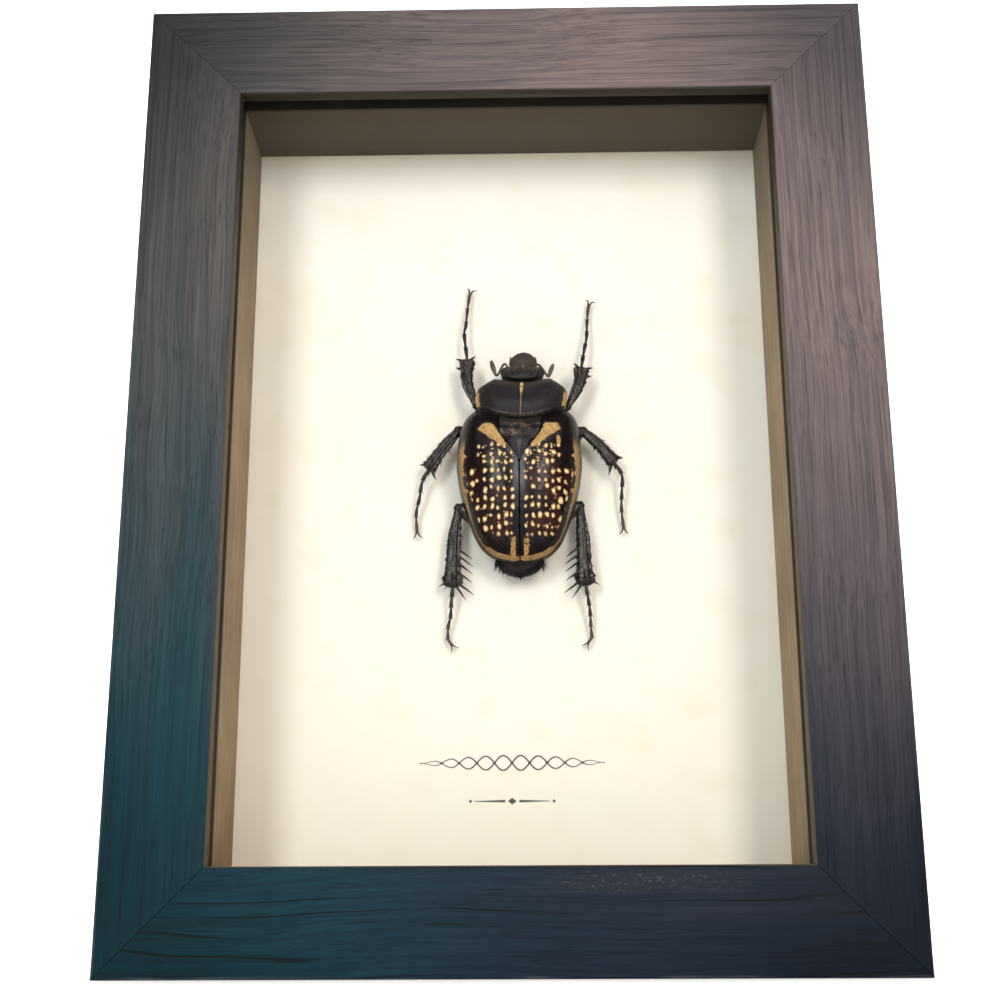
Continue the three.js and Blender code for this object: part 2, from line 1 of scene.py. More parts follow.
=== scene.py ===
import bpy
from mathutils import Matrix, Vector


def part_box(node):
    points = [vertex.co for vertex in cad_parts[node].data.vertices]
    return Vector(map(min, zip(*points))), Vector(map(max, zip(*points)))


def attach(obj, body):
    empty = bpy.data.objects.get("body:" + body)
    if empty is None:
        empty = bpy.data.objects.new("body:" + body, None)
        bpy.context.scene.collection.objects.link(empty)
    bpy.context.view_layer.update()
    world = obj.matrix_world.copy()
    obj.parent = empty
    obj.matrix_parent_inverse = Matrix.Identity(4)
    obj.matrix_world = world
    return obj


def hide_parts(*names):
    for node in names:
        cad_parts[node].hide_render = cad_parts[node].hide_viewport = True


bl_info = {
    "name": "Framed Flower Beetle",
    "version": (1, 0, 0),
    "blender": (4, 5, 0),
    "location": "View3D > Sidebar > Beetle Frame",
    "description": "A flower beetle with spread legs in a glazed box frame of dark stained wood",
    "category": "Add Mesh",
}

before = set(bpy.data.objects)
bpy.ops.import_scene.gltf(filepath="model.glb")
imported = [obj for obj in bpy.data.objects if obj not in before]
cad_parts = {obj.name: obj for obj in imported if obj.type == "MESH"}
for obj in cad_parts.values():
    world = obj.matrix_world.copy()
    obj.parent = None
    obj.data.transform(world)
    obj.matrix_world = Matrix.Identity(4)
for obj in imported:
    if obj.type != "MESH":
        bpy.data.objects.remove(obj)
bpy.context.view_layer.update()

import math
import random

import bmesh
import bpy
from mathutils import Matrix, Vector, noise

MM = 0.001

# Frame, in millimetres
FACE_WIDTH = 20.0
LIP_THICKNESS = 3.7
REBATE_WIDTH = 6.5
FRAME_LOW, FRAME_HIGH = (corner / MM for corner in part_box("stile_left"))
FRAME_FRONT, FRAME_BACK = FRAME_LOW.y, FRAME_HIGH.y
FRAME_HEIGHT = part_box("rail_top")[1].z / MM
FRAME_WIDTH = -2 * FRAME_LOW.x
SIGHT_HALF_WIDTH = FRAME_WIDTH / 2 - FACE_WIDTH
SIGHT_HALF_HEIGHT = FRAME_HEIGHT / 2 - FACE_WIDTH
MITRE_GAP = 0.003
SHEET_EDGE = 0.18

# The beetle has axes of its own, in millimetres: x to the right, y towards the head, z out of the card.
CARD_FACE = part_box("mount_card")[0].y / MM
BEETLE_X, BEETLE_Z = 2.35, 103.7
BEETLE_SPACE = Matrix((
    (MM, 0, 0, BEETLE_X * MM),
    (0, 0, -MM, CARD_FACE * MM),
    (0, MM, 0, BEETLE_Z * MM),
    (0, 0, 0, 1),
))
LEAN, LEAN_START = 0.05, 3.0
BODY_FRONT, BOW_START = 7.9, 3.0
SHELL = 0.8
FOOT_JOINTS, STALK_BEADS = 5, 9
CLAW_SPREAD = {"front": 0.52, "middle": 0.40, "hind": 0.20}
PIECE_NAMES = {"abdomen_and_thorax": "underside"}

# The part of the card that shows, how far the beetle's middle is above its middle, and the ornament
CARD_HALF_WIDTH, CARD_HALF_HEIGHT, CARD_RISE = 57.5, 82.0, 3.7
ORNAMENT_X, BRAID_Y, RULE_Y = -2.0, -61.9, -69.6

CAMERA_EYE = Vector((0.00344, -0.31388, 0.005))
CAMERA_AHEAD, CAMERA_UP = Vector((-0.0190, 0.9599, 0.2798)), Vector((0.0091, -0.2797, 0.9601))
SENSOR, FOCAL_PIXELS, IMAGE_PIXELS = 36.0, 1563, 990


def clamp(value, low=0.0, high=1.0):
    return max(low, min(high, value))


def ease(value, low=0.0, high=1.0):
    share = clamp((value - low) / (high - low))
    return share * share * (3 - 2 * share)


def hump(value, middle, width):
    return math.exp(-(((value - middle) / width) ** 2))


def through(pairs):
    """A smooth function through [number, value] pairs that never swings past the values beside it."""
    steep = [(b[1] - a[1]) / (b[0] - a[0]) for a, b in zip(pairs, pairs[1:])]
    slopes = [steep[0]]
    for before, after in zip(steep, steep[1:]):
        slopes.append(2 * before * after / (before + after) if before * after > 0 else 0.0)
    slopes.append(steep[-1])

    def value(t):
        i = 0
        while i < len(pairs) - 2 and t > pairs[i + 1][0]:
            i += 1
        width = pairs[i + 1][0] - pairs[i][0]
        u = clamp((t - pairs[i][0]) / width)
        h, k = u * u * (3 - 2 * u), u * (1 - u)
        flat = pairs[i][1] * (1 - h) + pairs[i + 1][1] * h
        return flat + width * k * (slopes[i] * (1 - u) - slopes[i + 1] * u)

    return value


# Half widths and heights along the beetle's body
WING_CASE_HALF = through([
    (-21.6, 1.6), (-21.3, 3.3), (-20.3, 5.9), (-17.4, 8.6), (-10.9, 11.1),
    (-4.6, 12.7), (0, 13.15), (4, 12.85), (6, 12.2), (7.4, 10.9), (8.2, 8.8),
])
WING_CASE_CROWN = through([
    (-21.6, 7.8), (-20.3, 9.4), (-17, 12.2), (-11, 14.3), (-3, 15.2), (5, 14.7), (8.2, 13.3),
])
WING_CASE_MARGIN = through([(-21.6, 6.6), (-17, 6.4), (-8, 6.1), (3, 6.7), (8.2, 9.2)])
WING_CASE_SEAM = through([(-21.6, 0.16), (-2.5, 0.16), (3.3, 3.5), (4.8, 4.6), (8.2, 4.95)])
WING_CASE_END = -21.6
SCUTELLUM_HALF = through([(-1.6, 0.1), (0.5, 1.08), (3.3, 2.9), (4.8, 4.05), (8.0, 4.3)])
BELLY = {
    "half": through([
        (-23.8, 0.8), (-23.4, 2.3), (-22.4, 4.1), (-20, 5.3), (-17.4, 6.6),
        (-10.9, 9.7), (-3, 11.6), (4, 11.7), (6.5, 10.8), (8.2, 8.4),
    ]),
    "crown": through([
        (-23.8, 3.6), (-23.2, 4.7), (-22.3, 5.4), (-20.6, 6.5), (-17, 9.8),
        (-11, 12.8), (-3, 13.8), (5, 13.2), (8.2, 11.7),
    ]),
    "side": through([(-23.8, 3.1), (-20, 4.8), (-8, 4.9), (4, 5.2), (8.2, 5.6)]),
    "bottom": through([(-23.8, 2.6), (-22, 1.8), (-14, 0.8), (-5, 0.35), (3, 0.35), (8.2, 2.2)]),
}
PRONOTUM = {
    "half": through([(0, 9.3), (0.35, 9.8), (0.6, 9.5), (0.84, 7.9), (1, 6.0)]),
    "crown": through([(0, 13.9), (0.3, 14.2), (0.7, 12.9), (1, 11.1)]),
    "side": through([(0, 8.4), (1, 7.7)]),
    "bottom": through([(0, 2.6), (0.4, 1.8), (1, 4.2)]),
}
HEAD = {
    "half": through([
        (0, 4.4), (0.18, 4.5), (0.34, 3.8), (0.47, 2.85), (0.62, 3.0), (0.76, 2.9),
        (0.88, 2.35), (0.95, 1.7), (1, 0.8),
    ]),
    "crown": through([(0, 10.7), (0.2, 10.5), (0.5, 9.2), (0.8, 7.7), (1, 6.9)]),
    "side": through([(0, 7.4), (0.5, 7.2), (1, 6.5)]),
    "bottom": through([(0, 4.6), (0.5, 5.2), (1, 6.2)]),
}
HEAD_FRONT, NECK_GAP = 25.2, 0.95
EYE_X, EYE_Y, EYE_Z, EYE_RADIUS = 3.5, 20.1, 7.9, 1.25

FRONT_LEG = {"thigh": (1.9, 1.5), "shin": (0.75, 1.5), "flat": 0.5}
MIDDLE_LEG = {"thigh": (1.9, 1.7), "shin": (1.0, 1.4), "flat": 0.6}
HIND_LEG = {
    "thigh": (2.3, 1.8), "shin": (0.95, 1.75), "flat": 0.55,
    "teeth": (
        (0.57, -1, 2.8), (0.65, -1, 3.0), (0.74, -1, 3.0), (0.85, -1, 3.0),
        (0.98, -1, 3.4), (1.0, -0.5, 3.1), (0.97, 1, 1.9),
    ),
}
LEGS = {
    "front_leg_left": {
        **FRONT_LEG,
        "hip": (-4.3, 12.7, 4.0), "knee": (-9.1, 13.1, 6.2),
        "bend": (-11.1, 18.9, 5.8), "heel": (-11.1, 24.5, 5.0),
        "foot": ((-11.8, 30.7, 3.6), (-11.5, 33.0, 3.0), (-11.2, 37.0, 2.2), (-10.8, 40.7, 1.4)),
        "claws": (0.3, 1, 2.4),
        "teeth": ((0.82, 1, 1.9), (1.0, 1, 2.0), (1.0, -1, 1.6)),
    },
    "front_leg_right": {
        **FRONT_LEG,
        "hip": (4.7, 12.5, 4.0), "knee": (10.4, 12.7, 6.2),
        "bend": (12.9, 18.0, 5.8), "heel": (13.6, 22.4, 5.0),
        "foot": ((14.3, 26.6, 3.9), (14.9, 29.8, 3.2), (15.1, 33.6, 2.3), (15.5, 37.7, 1.4)),
        "claws": (0.3, 1, 2.3),
        "teeth": ((0.8, 1, 1.9), (1.0, 1, 2.0), (1.0, -1, 1.6)),
    },
    "middle_leg_left": {
        **MIDDLE_LEG,
        "hip": (-6.3, 5.7, 2.6), "knee": (-12.9, 8.4, 4.4),
        "bend": (-16.4, 4.1, 4.6), "heel": (-19.5, -0.5, 4.6),
        "foot": ((-20.7, -3.0, 3.9), (-21.3, -6.3, 3.0), (-22.0, -9.4, 2.2), (-21.9, -12.7, 1.4)),
        "claws": (0.1, -1, 2.2),
        "teeth": ((0.72, -1, 1.3), (0.98, 1, 1.7), (1.0, -1, 2.4), (1.0, -0.3, 1.8)),
    },
    "middle_leg_right": {
        **MIDDLE_LEG,
        "hip": (6.6, 5.3, 2.6), "knee": (13.6, 8.0, 4.4),
        "bend": (17.2, 4.6, 4.6), "heel": (20.4, 0.6, 4.6),
        "foot": ((21.8, -1.9, 3.9), (21.7, -5.4, 3.0), (21.6, -8.7, 2.2), (21.9, -12.1, 1.4)),
        "claws": (0.08, -1, 2.3),
        "teeth": ((0.72, -1, 1.4), (0.98, 1, 1.7), (1.0, -1, 2.7), (1.0, -0.3, 1.8)),
    },
    "hind_leg_left": {
        **HIND_LEG,
        "hip": (-5.7, -12.2, 2.8), "knee": (-12.9, -8.7, 4.3),
        "bend": (-13.8, -16.5, 4.3), "heel": (-14.1, -26.2, 4.2),
        "foot": ((-14.4, -29.0, 3.4), (-14.6, -31.9, 2.6), (-15.1, -34.0, 2.0), (-15.2, -36.5, 1.4)),
        "claws": (0.7, -1, 2.9),
    },
    "hind_leg_right": {
        **HIND_LEG,
        "hip": (5.4, -11.8, 2.8), "knee": (12.7, -8.4, 4.3),
        "bend": (13.3, -16.3, 4.3), "heel": (13.6, -26.0, 4.2),
        "foot": ((14.2, -29.0, 3.4), (14.5, -31.6, 2.6), (14.6, -34.0, 2.0), (14.8, -36.3, 1.4)),
        "claws": (-0.7, -1, 2.9),
    },
}
ANTENNAE = {
    "antenna_left": {
        "stalk": ((-2.0, 21.7, 5.9), (-3.1, 22.7, 6.4), (-4.3, 20.5, 6.4), (-4.85, 20.05, 6.3)),
        "club": ((-4.85, 19.95, 6.3), (-5.95, 23.6, 6.2)),
    },
    "antenna_right": {
        "stalk": ((3.2, 21.5, 5.9), (4.3, 22.5, 6.4), (5.9, 20.35, 6.4), (6.45, 19.65, 6.3)),
        "club": ((6.45, 19.55, 6.3), (7.45, 22.7, 6.2)),
    },
}


def arithmetic(operation, swapped=False):
    """A method that adds a Math node for an operator between a Value and a number or Value."""
    def method(self, other):
        first, second = (other, self) if swapped else (self, other)
        return self.finish.math(operation, first, second)

    return method


class Value:
    """A number that changes over a surface. Arithmetic on it adds Math nodes to its material."""

    def __init__(self, finish, socket):
        self.finish, self.socket = finish, socket

    __add__ = __radd__ = arithmetic("ADD")
    __sub__ = arithmetic("SUBTRACT")
    __rsub__ = arithmetic("SUBTRACT", swapped=True)
    __mul__ = __rmul__ = arithmetic("MULTIPLY")
    __truediv__ = arithmetic("DIVIDE")
    __pow__ = arithmetic("POWER")

    def __abs__(self):
        return self.finish.math("ABSOLUTE", self)

    def rises(self, low, high):
        """0 below low, 1 above high, smooth between. Either may be a Value."""
        node = self.finish.add(
            "MapRange", {"interpolation_type": "SMOOTHSTEP"},
            {"Value": self, "From Min": low, "From Max": high})
        return Value(self.finish, node.outputs["Result"])

    def falls(self, low, high):
        return 1 - self.rises(low, high)

    def within(self, low, high, soft):
        return self.rises(low - soft, low + soft) * self.falls(high - soft, high + soft)


class Finish:
    """A material in the making: where patterns are read, and the base colour so far."""

    def __init__(self, name, base=None, turn=(0, 0, 0), shift=(0, 0, 0)):
        self.material = bpy.data.materials.new(name)
        self.material.use_nodes = True
        self.tree = self.material.node_tree
        self.tree.nodes.clear()
        self.where = self.place(turn, shift)
        self.base = base

    def add(self, kind, settings=None, sockets=None):
        """Adds any node but the arithmetic, with its settings and what its sockets get."""
        node = self.tree.nodes.new("ShaderNode" + kind)
        for key, value in (settings or {}).items():
            setattr(node, key, value)
        for key, value in (sockets or {}).items():
            socket = node.inputs[key]
            if isinstance(value, Value):
                self.tree.links.new(value.socket, socket)
            elif isinstance(value, bpy.types.NodeSocket):
                self.tree.links.new(value, socket)
            elif socket.type == "RGBA":
                socket.default_value = (*value[:3], 1.0)
            else:
                socket.default_value = value
        return node

    def math(self, operation, *values):
        node = self.add("Math", {"operation": operation}, dict(enumerate(values)))
        return Value(self, node.outputs[0])

    def smaller(self, first, second):
        return self.math("MINIMUM", first, second)

    def larger(self, first, second):
        return self.math("MAXIMUM", first, second)

    def blend(self, factor, first, second, kind="MIX"):
        node = self.add("Mix", {"data_type": "RGBA", "blend_type": kind}, {0: factor, 6: first, 7: second})
        return node.outputs[2]

    def cover(self, factor, tone):
        """Lays a colour over the base."""
        self.base = self.blend(factor, self.base, tone)

    def shade(self, factor, dark, light):
        """Multiplies the base by a colour between two."""
        self.base = self.blend(1.0, self.base, self.blend(factor, dark, light), "MULTIPLY")

    def place(self, turn=(0, 0, 0), shift=(0, 0, 0)):
        """Object coordinates in millimetres, turned and then shifted."""
        return self.stretched(self.add("TexCoord").outputs["Object"], (1 / MM,) * 3, shift, turn)

    def stretched(self, vector, scale, shift=(0, 0, 0), turn=(0, 0, 0)):
        return self.add("Mapping", {}, {
            "Vector": vector, "Scale": scale, "Location": shift, "Rotation": turn}).outputs[0]

    def parts(self, vector=None):
        node = self.add("SeparateXYZ", {}, {0: vector or self.where})
        return [Value(self, output) for output in node.outputs]

    def together(self, x, y, z=0.0):
        return self.add("CombineXYZ", {}, {0: x, 1: y, 2: z}).outputs[0]

    def clouds(self, scale, detail=2.0, roughness=0.5, shift=(0, 0, 0), distortion=0.0):
        """Soft noise. Three scales stretch it along the axes, and then it can be shifted."""
        vector = self.where
        if isinstance(scale, tuple):
            vector, scale = self.stretched(vector, scale, shift), 1.0
        node = self.add("TexNoise", {}, {
            "Vector": vector, "Scale": scale, "Detail": detail, "Roughness": roughness,
            "Distortion": distortion})
        return Value(self, node.outputs[0])

    def cells(self, scale, randomness=1.0, flat=None):
        """The distance to the nearest cell's middle, and a random number for each cell."""
        node = self.add("TexVoronoi", {"voronoi_dimensions": "2D" if flat else "3D"}, {
            "Vector": flat or self.where, "Scale": scale, "Randomness": randomness})
        random_colour = self.add("SeparateColor", {}, {0: node.outputs["Color"]})
        return Value(self, node.outputs["Distance"]), Value(self, random_colour.outputs[0])

    def dots(self, scale, inner, outer, rare, common, flat=None):
        """Round dots, soft between two radii, of which some are missing."""
        distance, pick = self.cells(scale, flat=flat)
        return distance.falls(inner, outer) * pick.rises(rare, common)

    def attribute(self, name):
        return Value(self, self.add("Attribute", {"attribute_name": name}).outputs["Fac"])

    def done(self, relief=None, **sockets):
        """The material. The relief is a height in millimetres, its strength and its distance."""
        if relief:
            height, strength, distance = relief
            sockets["normal"] = self.add("Bump", {}, {
                "Strength": strength, "Distance": distance * MM, "Height": height}).outputs[0]
        names = {key.replace("_", " ").title().replace("Ior", "IOR"): value for key, value in sockets.items()}
        shader = self.add("BsdfPrincipled", {}, {"Base Color": self.base, **names})
        self.add("OutputMaterial", {}, {"Surface": shader.outputs[0]})
        return self.material


def beetle_finish(name, base=None):
    """A material whose patterns are read in the beetle's own axes."""
    return Finish(name, base, (-math.pi / 2, 0, 0), (-BEETLE_X, -BEETLE_Z, CARD_FACE))


def colour(name, about, default):
    return bpy.props.FloatVectorProperty(
        name=name, description=about, subtype="COLOR", min=0, max=1, default=default)


def length(name, about, default):
    return bpy.props.FloatProperty(
        name=name, description=about, unit="LENGTH", precision=5, min=0, default=default * MM)


class FrameSettings(bpy.types.PropertyGroup):
    long_edge: length("Long edge", "Rounding of the edges along the moulding", 0.55)
    mitre_edge: length("Mitre edge", "Rounding of the edges at the mitres", 0.085)
    # Each corner colour is the dark stain with a painted reflection tint in it.
    stain_and_reflection_upper_left: colour("Stain upper left", "Stain at the upper left corner", (0.034, 0.035, 0.034))
    stain_and_reflection_upper_right: colour("Stain upper right", "Stain at the upper right corner", (0.098, 0.077, 0.077))
    stain_and_reflection_lower_left: colour("Stain lower left", "Stain at the lower left corner", (0.002, 0.022, 0.031))
    stain_and_reflection_lower_right: colour("Stain lower right", "Stain at the lower right corner", (0.005, 0.009, 0.017))
    lip: colour("Lip", "Bare wood inside the lip", (0.14, 0.104, 0.064))
    wall: colour("Box wall", "Board of the walls between the glass and the card", (0.36, 0.262, 0.162))
    # The top wall is the same board as the others, darkened for painted shade under the top rail.
    painted_shade_top_wall: colour("Top wall", "Darker board of the upper wall", (0.024, 0.017, 0.009))


class MountSettings(bpy.types.PropertyGroup):
    card: colour("Card", "Middle of the card", (0.93, 0.905, 0.845))
    # A yellower tone near the card's edges and towards its lower left.
    edge_and_lower_left_tone: colour("Aged card", "Card near its lower left edges", (0.86, 0.78, 0.62))
    ink: colour("Ink", "Ornament under the beetle", (0.035, 0.030, 0.028))
    board: colour("Board", "Backing board", (0.22, 0.12, 0.06))
    steel: colour("Steel", "Points, hanger and nails", (0.36, 0.355, 0.34))


class BeetleSettings(bpy.types.PropertyGroup):
    shell: colour("Shell", "Head, pronotum and underside", (0.013, 0.009, 0.010))
    limb: colour("Limb", "Legs and antennae", (0.008, 0.005, 0.004))
    wing_case: colour("Wing case", "Dark ground of the wing cases", (0.007, 0.0035, 0.004))
    red_ground: colour("Red ground", "Ground among the rear spots", (0.030, 0.006, 0.005))
    patch: colour("Patch", "Ochre patches and bands", (0.56, 0.34, 0.13))
    spot: colour("Spot", "Cream spots", (0.86, 0.70, 0.40))
    bristle: length("Bristle", "Longest bristles of the tail", 1.4)


class StageSettings(bpy.types.PropertyGroup):
    key: bpy.props.FloatProperty(
        name="Key light", description="Strength of the soft box above the frame", unit="POWER", min=0,
        default=0.75)
    side: bpy.props.FloatProperty(
        name="Side lights", description="Strength of the two side boxes", unit="POWER", min=0, default=1.78)
    air: bpy.props.FloatProperty(
        name="Surroundings", description="Brightness of the surroundings", min=0, default=0.16)


def smooth_mesh(name, bm, sharp, material):
    """A new mesh object from a bmesh, shaded smooth except at edges sharper than that many degrees."""
    mesh = bpy.data.meshes.new(name)
    bm.to_mesh(mesh)
    bm.free()
    mesh.shade_smooth()
    mesh.set_sharp_from_angle(angle=math.radians(sharp))
    mesh.materials.append(material)
    piece = bpy.data.objects.new(name, mesh)
    bpy.context.scene.collection.objects.link(piece)
    return piece


def settle(family, node, bm, material, sharp=40):
    """Makes a finished piece that stands for a solid of the frame."""
    bm.normal_update()
    bmesh.ops.recalc_face_normals(bm, faces=bm.faces)
    if family == "beetle":
        bmesh.ops.transform(bm, matrix=BEETLE_SPACE, verts=bm.verts)
    name = family + "_" + PIECE_NAMES.get(node, node)
    piece = smooth_mesh(name, bm, sharp, material)
    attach(piece, "root")
    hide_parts(node)


def coat(material, *nodes):
    """Gives solids of the frame their material."""
    for node in nodes:
        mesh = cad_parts[node].data
        mesh.materials.clear()
        mesh.materials.append(material)


def stained_wood_with_painted_reflection(name, upright, seed, bold, settings):
    """Open-grained wood under a dark stain, with the grain along the moulding, painted reflection tints that
    blend from corner to corner, and painted shade at the outer corners.
    """
    turn = (0, math.pi / 2, 0) if upright else (0, 0, 0)
    finish = Finish(name, None, turn, (seed * 310.0, seed * 17.0, seed * 53.0))
    x, y, z = finish.parts(finish.place())
    wander = finish.clouds((0.012, 0.03, 0.03)) * 6.0
    spacing = finish.clouds((0.0035, 0.10, 0.10), 3.0, 0.6, (7, 3, 5))
    specks = finish.clouds((1.1, 3.2, 3.2), 2.0, 0.6)
    finish.where = finish.add("VectorMath", {"operation": "ADD"}, {
        0: finish.where, 1: finish.together(0.0, wander, wander)}).outputs[0]
    streaks = finish.clouds((0.014, 1.3, 1.3), 4.0, 0.62)
    fine = finish.clouds((0.045, 5.0, 5.0), 2.0, 0.6)
    pits = finish.clouds((0.05, 4.2, 4.2), 1.0, 0.5, (0, 40, 90)).rises(0.60, 0.72)
    _, deep, across_grain = finish.parts()
    lane = finish.math("FRACT", (deep + across_grain) / 3.4 + spacing * 3.6)
    lane_end = finish.clouds((0.022, 0.6, 0.6), 1.0, 0.5, (3, 9, 1))
    open_lines = abs(lane - 0.5).falls(0.02, 0.075) * lane_end.rises(0.44, 0.56) * bold
    broad = finish.clouds((0.01, 0.11, 0.11), 3.0) - 0.5

    # Painted reflection tints: the dark stain takes the four corner colours, blended across the frame.
    across = (x / FRAME_WIDTH + 0.5 + broad * 0.35).rises(-0.1, 0.75)
    up = (z / FRAME_HEIGHT + x / FRAME_WIDTH * 0.10 + broad * 0.30).rises(0.08, 0.82)
    finish.base = finish.blend(
        up,
        finish.blend(across, settings.stain_and_reflection_lower_left, settings.stain_and_reflection_lower_right),
        finish.blend(across, settings.stain_and_reflection_upper_left, settings.stain_and_reflection_upper_right))
    # Painted reflection and shade: brighter along the middles of the rails, darker and bluer towards the
    # outer corners.
    corner = abs(x) / (FRAME_WIDTH / 2) * abs(z * 2 / FRAME_HEIGHT - 1)
    finish.shade(corner.rises(0.25, 0.9), (1.75, 1.70, 1.65), (0.70, 0.77, 0.82))
    finish.shade(streaks.rises(0.34, 0.66), (0.80, 0.80, 0.82), (1.20, 1.17, 1.14))
    finish.shade(fine.rises(0.3, 0.7), (0.86, 0.86, 0.87), (1.13, 1.12, 1.11))
    finish.cover(open_lines * 0.88, (0.003, 0.004, 0.006))
    finish.cover(pits * 0.45, (0.008, 0.008, 0.009))

    # Bare wood inside the lip with painted shade towards the top, worn front edges, and a rubbed strip on the
    # lower rail
    high = abs(z - FRAME_HEIGHT / 2)
    inner = finish.larger(abs(x) - SIGHT_HALF_WIDTH, high - SIGHT_HALF_HEIGHT)
    bare = inner.falls(0.02, 0.4) * (0.35 + streaks * 1.1)
    # Painted shade: the bare lip goes near black towards the top rail.
    lip = finish.blend(z.rises(110, FRAME_HEIGHT - FACE_WIDTH), settings.lip, (0.030, 0.024, 0.015))
    finish.cover(finish.smaller(bare, 1.0), lip)
    outer = finish.smaller(FRAME_WIDTH / 2 - abs(x), FRAME_HEIGHT / 2 - high)
    front_edge = finish.smaller(finish.larger(outer, 0.0), 9.0) + (y - FRAME_FRONT)
    finish.cover(front_edge.falls(0.15, 0.75) * streaks.rises(0.45, 0.7) * 0.5, (0.16, 0.15, 0.145))
    rubbed = inner.within(1.2, 4.6, 1.0) * z.falls(FACE_WIDTH - 0.5, FACE_WIDTH) * x.within(10, 38, 9)
    finish.cover(rubbed * 0.45, (0.026, 0.026, 0.031))
    finish.cover(rubbed * specks.rises(0.56, 0.68) * 0.6, (0.085, 0.085, 0.088))
    return finish.done(
        relief=(streaks * 0.35 + fine * 0.20 - open_lines * 0.8 - pits * 0.40, 0.55, 0.10),
        roughness=0.46 + streaks * 0.22 + pits * 0.2, specular_ior_level=0.10)


def glass_sheet():
    """Clear glass that lets light through and mirrors a little more at its edges."""
    finish = Finish("clear_glass", (0.93, 0.97, 0.96))
    fresnel = Value(finish, finish.add("Fresnel", {}, {"IOR": 1.45}).outputs[0])
    return finish.done(metallic=1.0, roughness=0.03, alpha=fresnel * 0.07)


def wall_board(name, tone):
    """Board of the box walls, smooth with faint streaks, with painted shade towards the top and a painted
    shadow near the glass.
    """
    finish = Finish(name, tone)
    _, y, z = finish.parts()
    streaks = finish.clouds((0.25, 0.9, 0.05), 4.0, 0.6)
    fibres = finish.clouds(3.5, 3.0, 0.7)
    finish.shade(finish.clouds(0.06, 3.0).rises(0.3, 0.7), (0.82, 0.82, 0.82), (1.12, 1.10, 1.06))
    finish.cover(streaks.rises(0.4, 0.65) * 0.4, (0.11, 0.080, 0.046))
    # Painted shade towards the top, and a painted shadow on the strip just behind the glass.
    finish.cover(z.rises(120, 178) * 0.6, (0.085, 0.060, 0.034))
    finish.cover((y - FRAME_FRONT).falls(7.3, 8.6) * 0.85, (0.012, 0.009, 0.006))
    return finish.done(
        relief=(fibres + streaks * 0.5, 0.4, 0.08), roughness=0.55 + fibres * 0.2, specular_ior_level=0.2)


def ivory_card(settings):
    """Ivory card, faintly mottled, yellower near its edges and towards the lower left, with a painted shadow
    under the top wall, and a printed ornament.
    """
    finish = beetle_finish("ivory_card", settings.card)
    x, y, _ = finish.parts()
    mottle = finish.clouds(0.045, 3.0, 0.55)
    patches = finish.clouds((0.11, 0.11, 0.11), 2.0, 0.5, (4.4, 8.8, 0))
    tooth = finish.clouds(2.6, 3.0, 0.7)
    below_top = CARD_HALF_HEIGHT - y - CARD_RISE
    edge = finish.smaller(CARD_HALF_WIDTH - abs(x + BEETLE_X), CARD_HALF_HEIGHT - abs(y + CARD_RISE))
    low = (y + (mottle - 0.5) * 26).falls(-84, 8)
    left = (x + (patches - 0.5) * 16).falls(-60, -22)
    finish.cover(finish.smaller(edge.falls(0.0, 9.0) * 0.10 + low * 0.22 + left * 0.12, 1.0), settings.edge_and_lower_left_tone)
    # Painted shadow: a tan band under the top wall.
    finish.cover(below_top.falls(1.0, 7.0) * 0.5, (0.80, 0.66, 0.44))
    finish.cover(mottle.rises(0.42, 0.72) * 0.5, (0.93, 0.86, 0.75))
    finish.cover(patches.rises(0.5, 0.75) * 0.45, (0.86, 0.81, 0.68))
    finish.cover(tooth.rises(0.35, 0.65) * 0.05, (0.70, 0.64, 0.50))
    finish.base = finish.blend(1.0, finish.base, (0.915, 0.895, 0.855), "MULTIPLY")

    # A braid of two strands with beads in it
    u, v, w = x - ORNAMENT_X, y - BRAID_Y, y - RULE_Y
    turn = u * (2 * math.pi / 7.2)
    swell = finish.larger(1 - (u / 19.2) ** 2, 0.0)
    bend = finish.math("SINE", turn) * swell * 1.5
    slope = abs(finish.math("COSINE", turn)) * swell * 0.75 + 0.9
    strand = finish.smaller(abs(v - bend), abs(v + bend)) / slope
    braid = strand.falls(swell * 0.10 + 0.01, swell * 0.12 + 0.09) * abs(u).falls(18.9, 19.2)
    beads = (abs(finish.math("WRAP", u, 1.8, -1.8)) + abs(v) * 1.3).falls(0.34, 0.48) * swell.rises(0.1, 0.2)

    # A tapering rule with a lozenge in its middle and a dot at each end
    taper = finish.larger(1 - abs(u) / 7.6, 0.0)
    rule = abs(w).falls(taper * 0.22 + 0.03, taper * 0.24 + 0.11)
    rule = rule * abs(u).falls(7.5, 7.8) * abs(u).rises(1.35, 1.5)
    lozenge = (abs(u) * 0.75 + abs(w)).falls(0.62, 0.74)
    ends = ((abs(u) - 8.5) ** 2 + w ** 2).falls(0.05, 0.12)
    finish.cover(finish.smaller(braid + beads + rule + lozenge + ends, 1.0) * 0.93, settings.ink)
    return finish.done(relief=(tooth, 0.25, 0.05), roughness=0.82, specular_ior_level=0.25)


def backing(settings):
    """Pressed brown board with fibres."""
    finish = Finish("pressed_board", (0.15, 0.080, 0.040))
    fibres = finish.clouds((0.5, 1.5, 1.5), 5.0, 0.7, distortion=0.6)
    finish.cover(fibres.rises(0.3, 0.7), settings.board)
    finish.cover(finish.clouds(0.05, 3.0).rises(0.35, 0.7) * 0.35, (0.30, 0.18, 0.10))
    finish.cover(finish.dots(0.9, 0.10, 0.22, 0.72, 0.8) * 0.6, (0.06, 0.03, 0.016))
    return finish.done(relief=(fibres, 0.5, 0.12), roughness=0.8)


def plated_steel(settings):
    """Dull zinc-plated steel with fine scratches and a few stains."""
    finish = Finish("plated_steel", settings.steel)
    brushed = finish.clouds((0.6, 6, 6), 3.0, 0.6)
    stains = finish.clouds(0.7, 3.0, 0.6)
    finish.cover(stains.rises(0.52, 0.75) * 0.7, (0.30, 0.27, 0.23))
    return finish.done(
        relief=(brushed, 0.3, 0.03), metallic=1.0, roughness=0.28 + brushed * 0.2 + stains * 0.12)


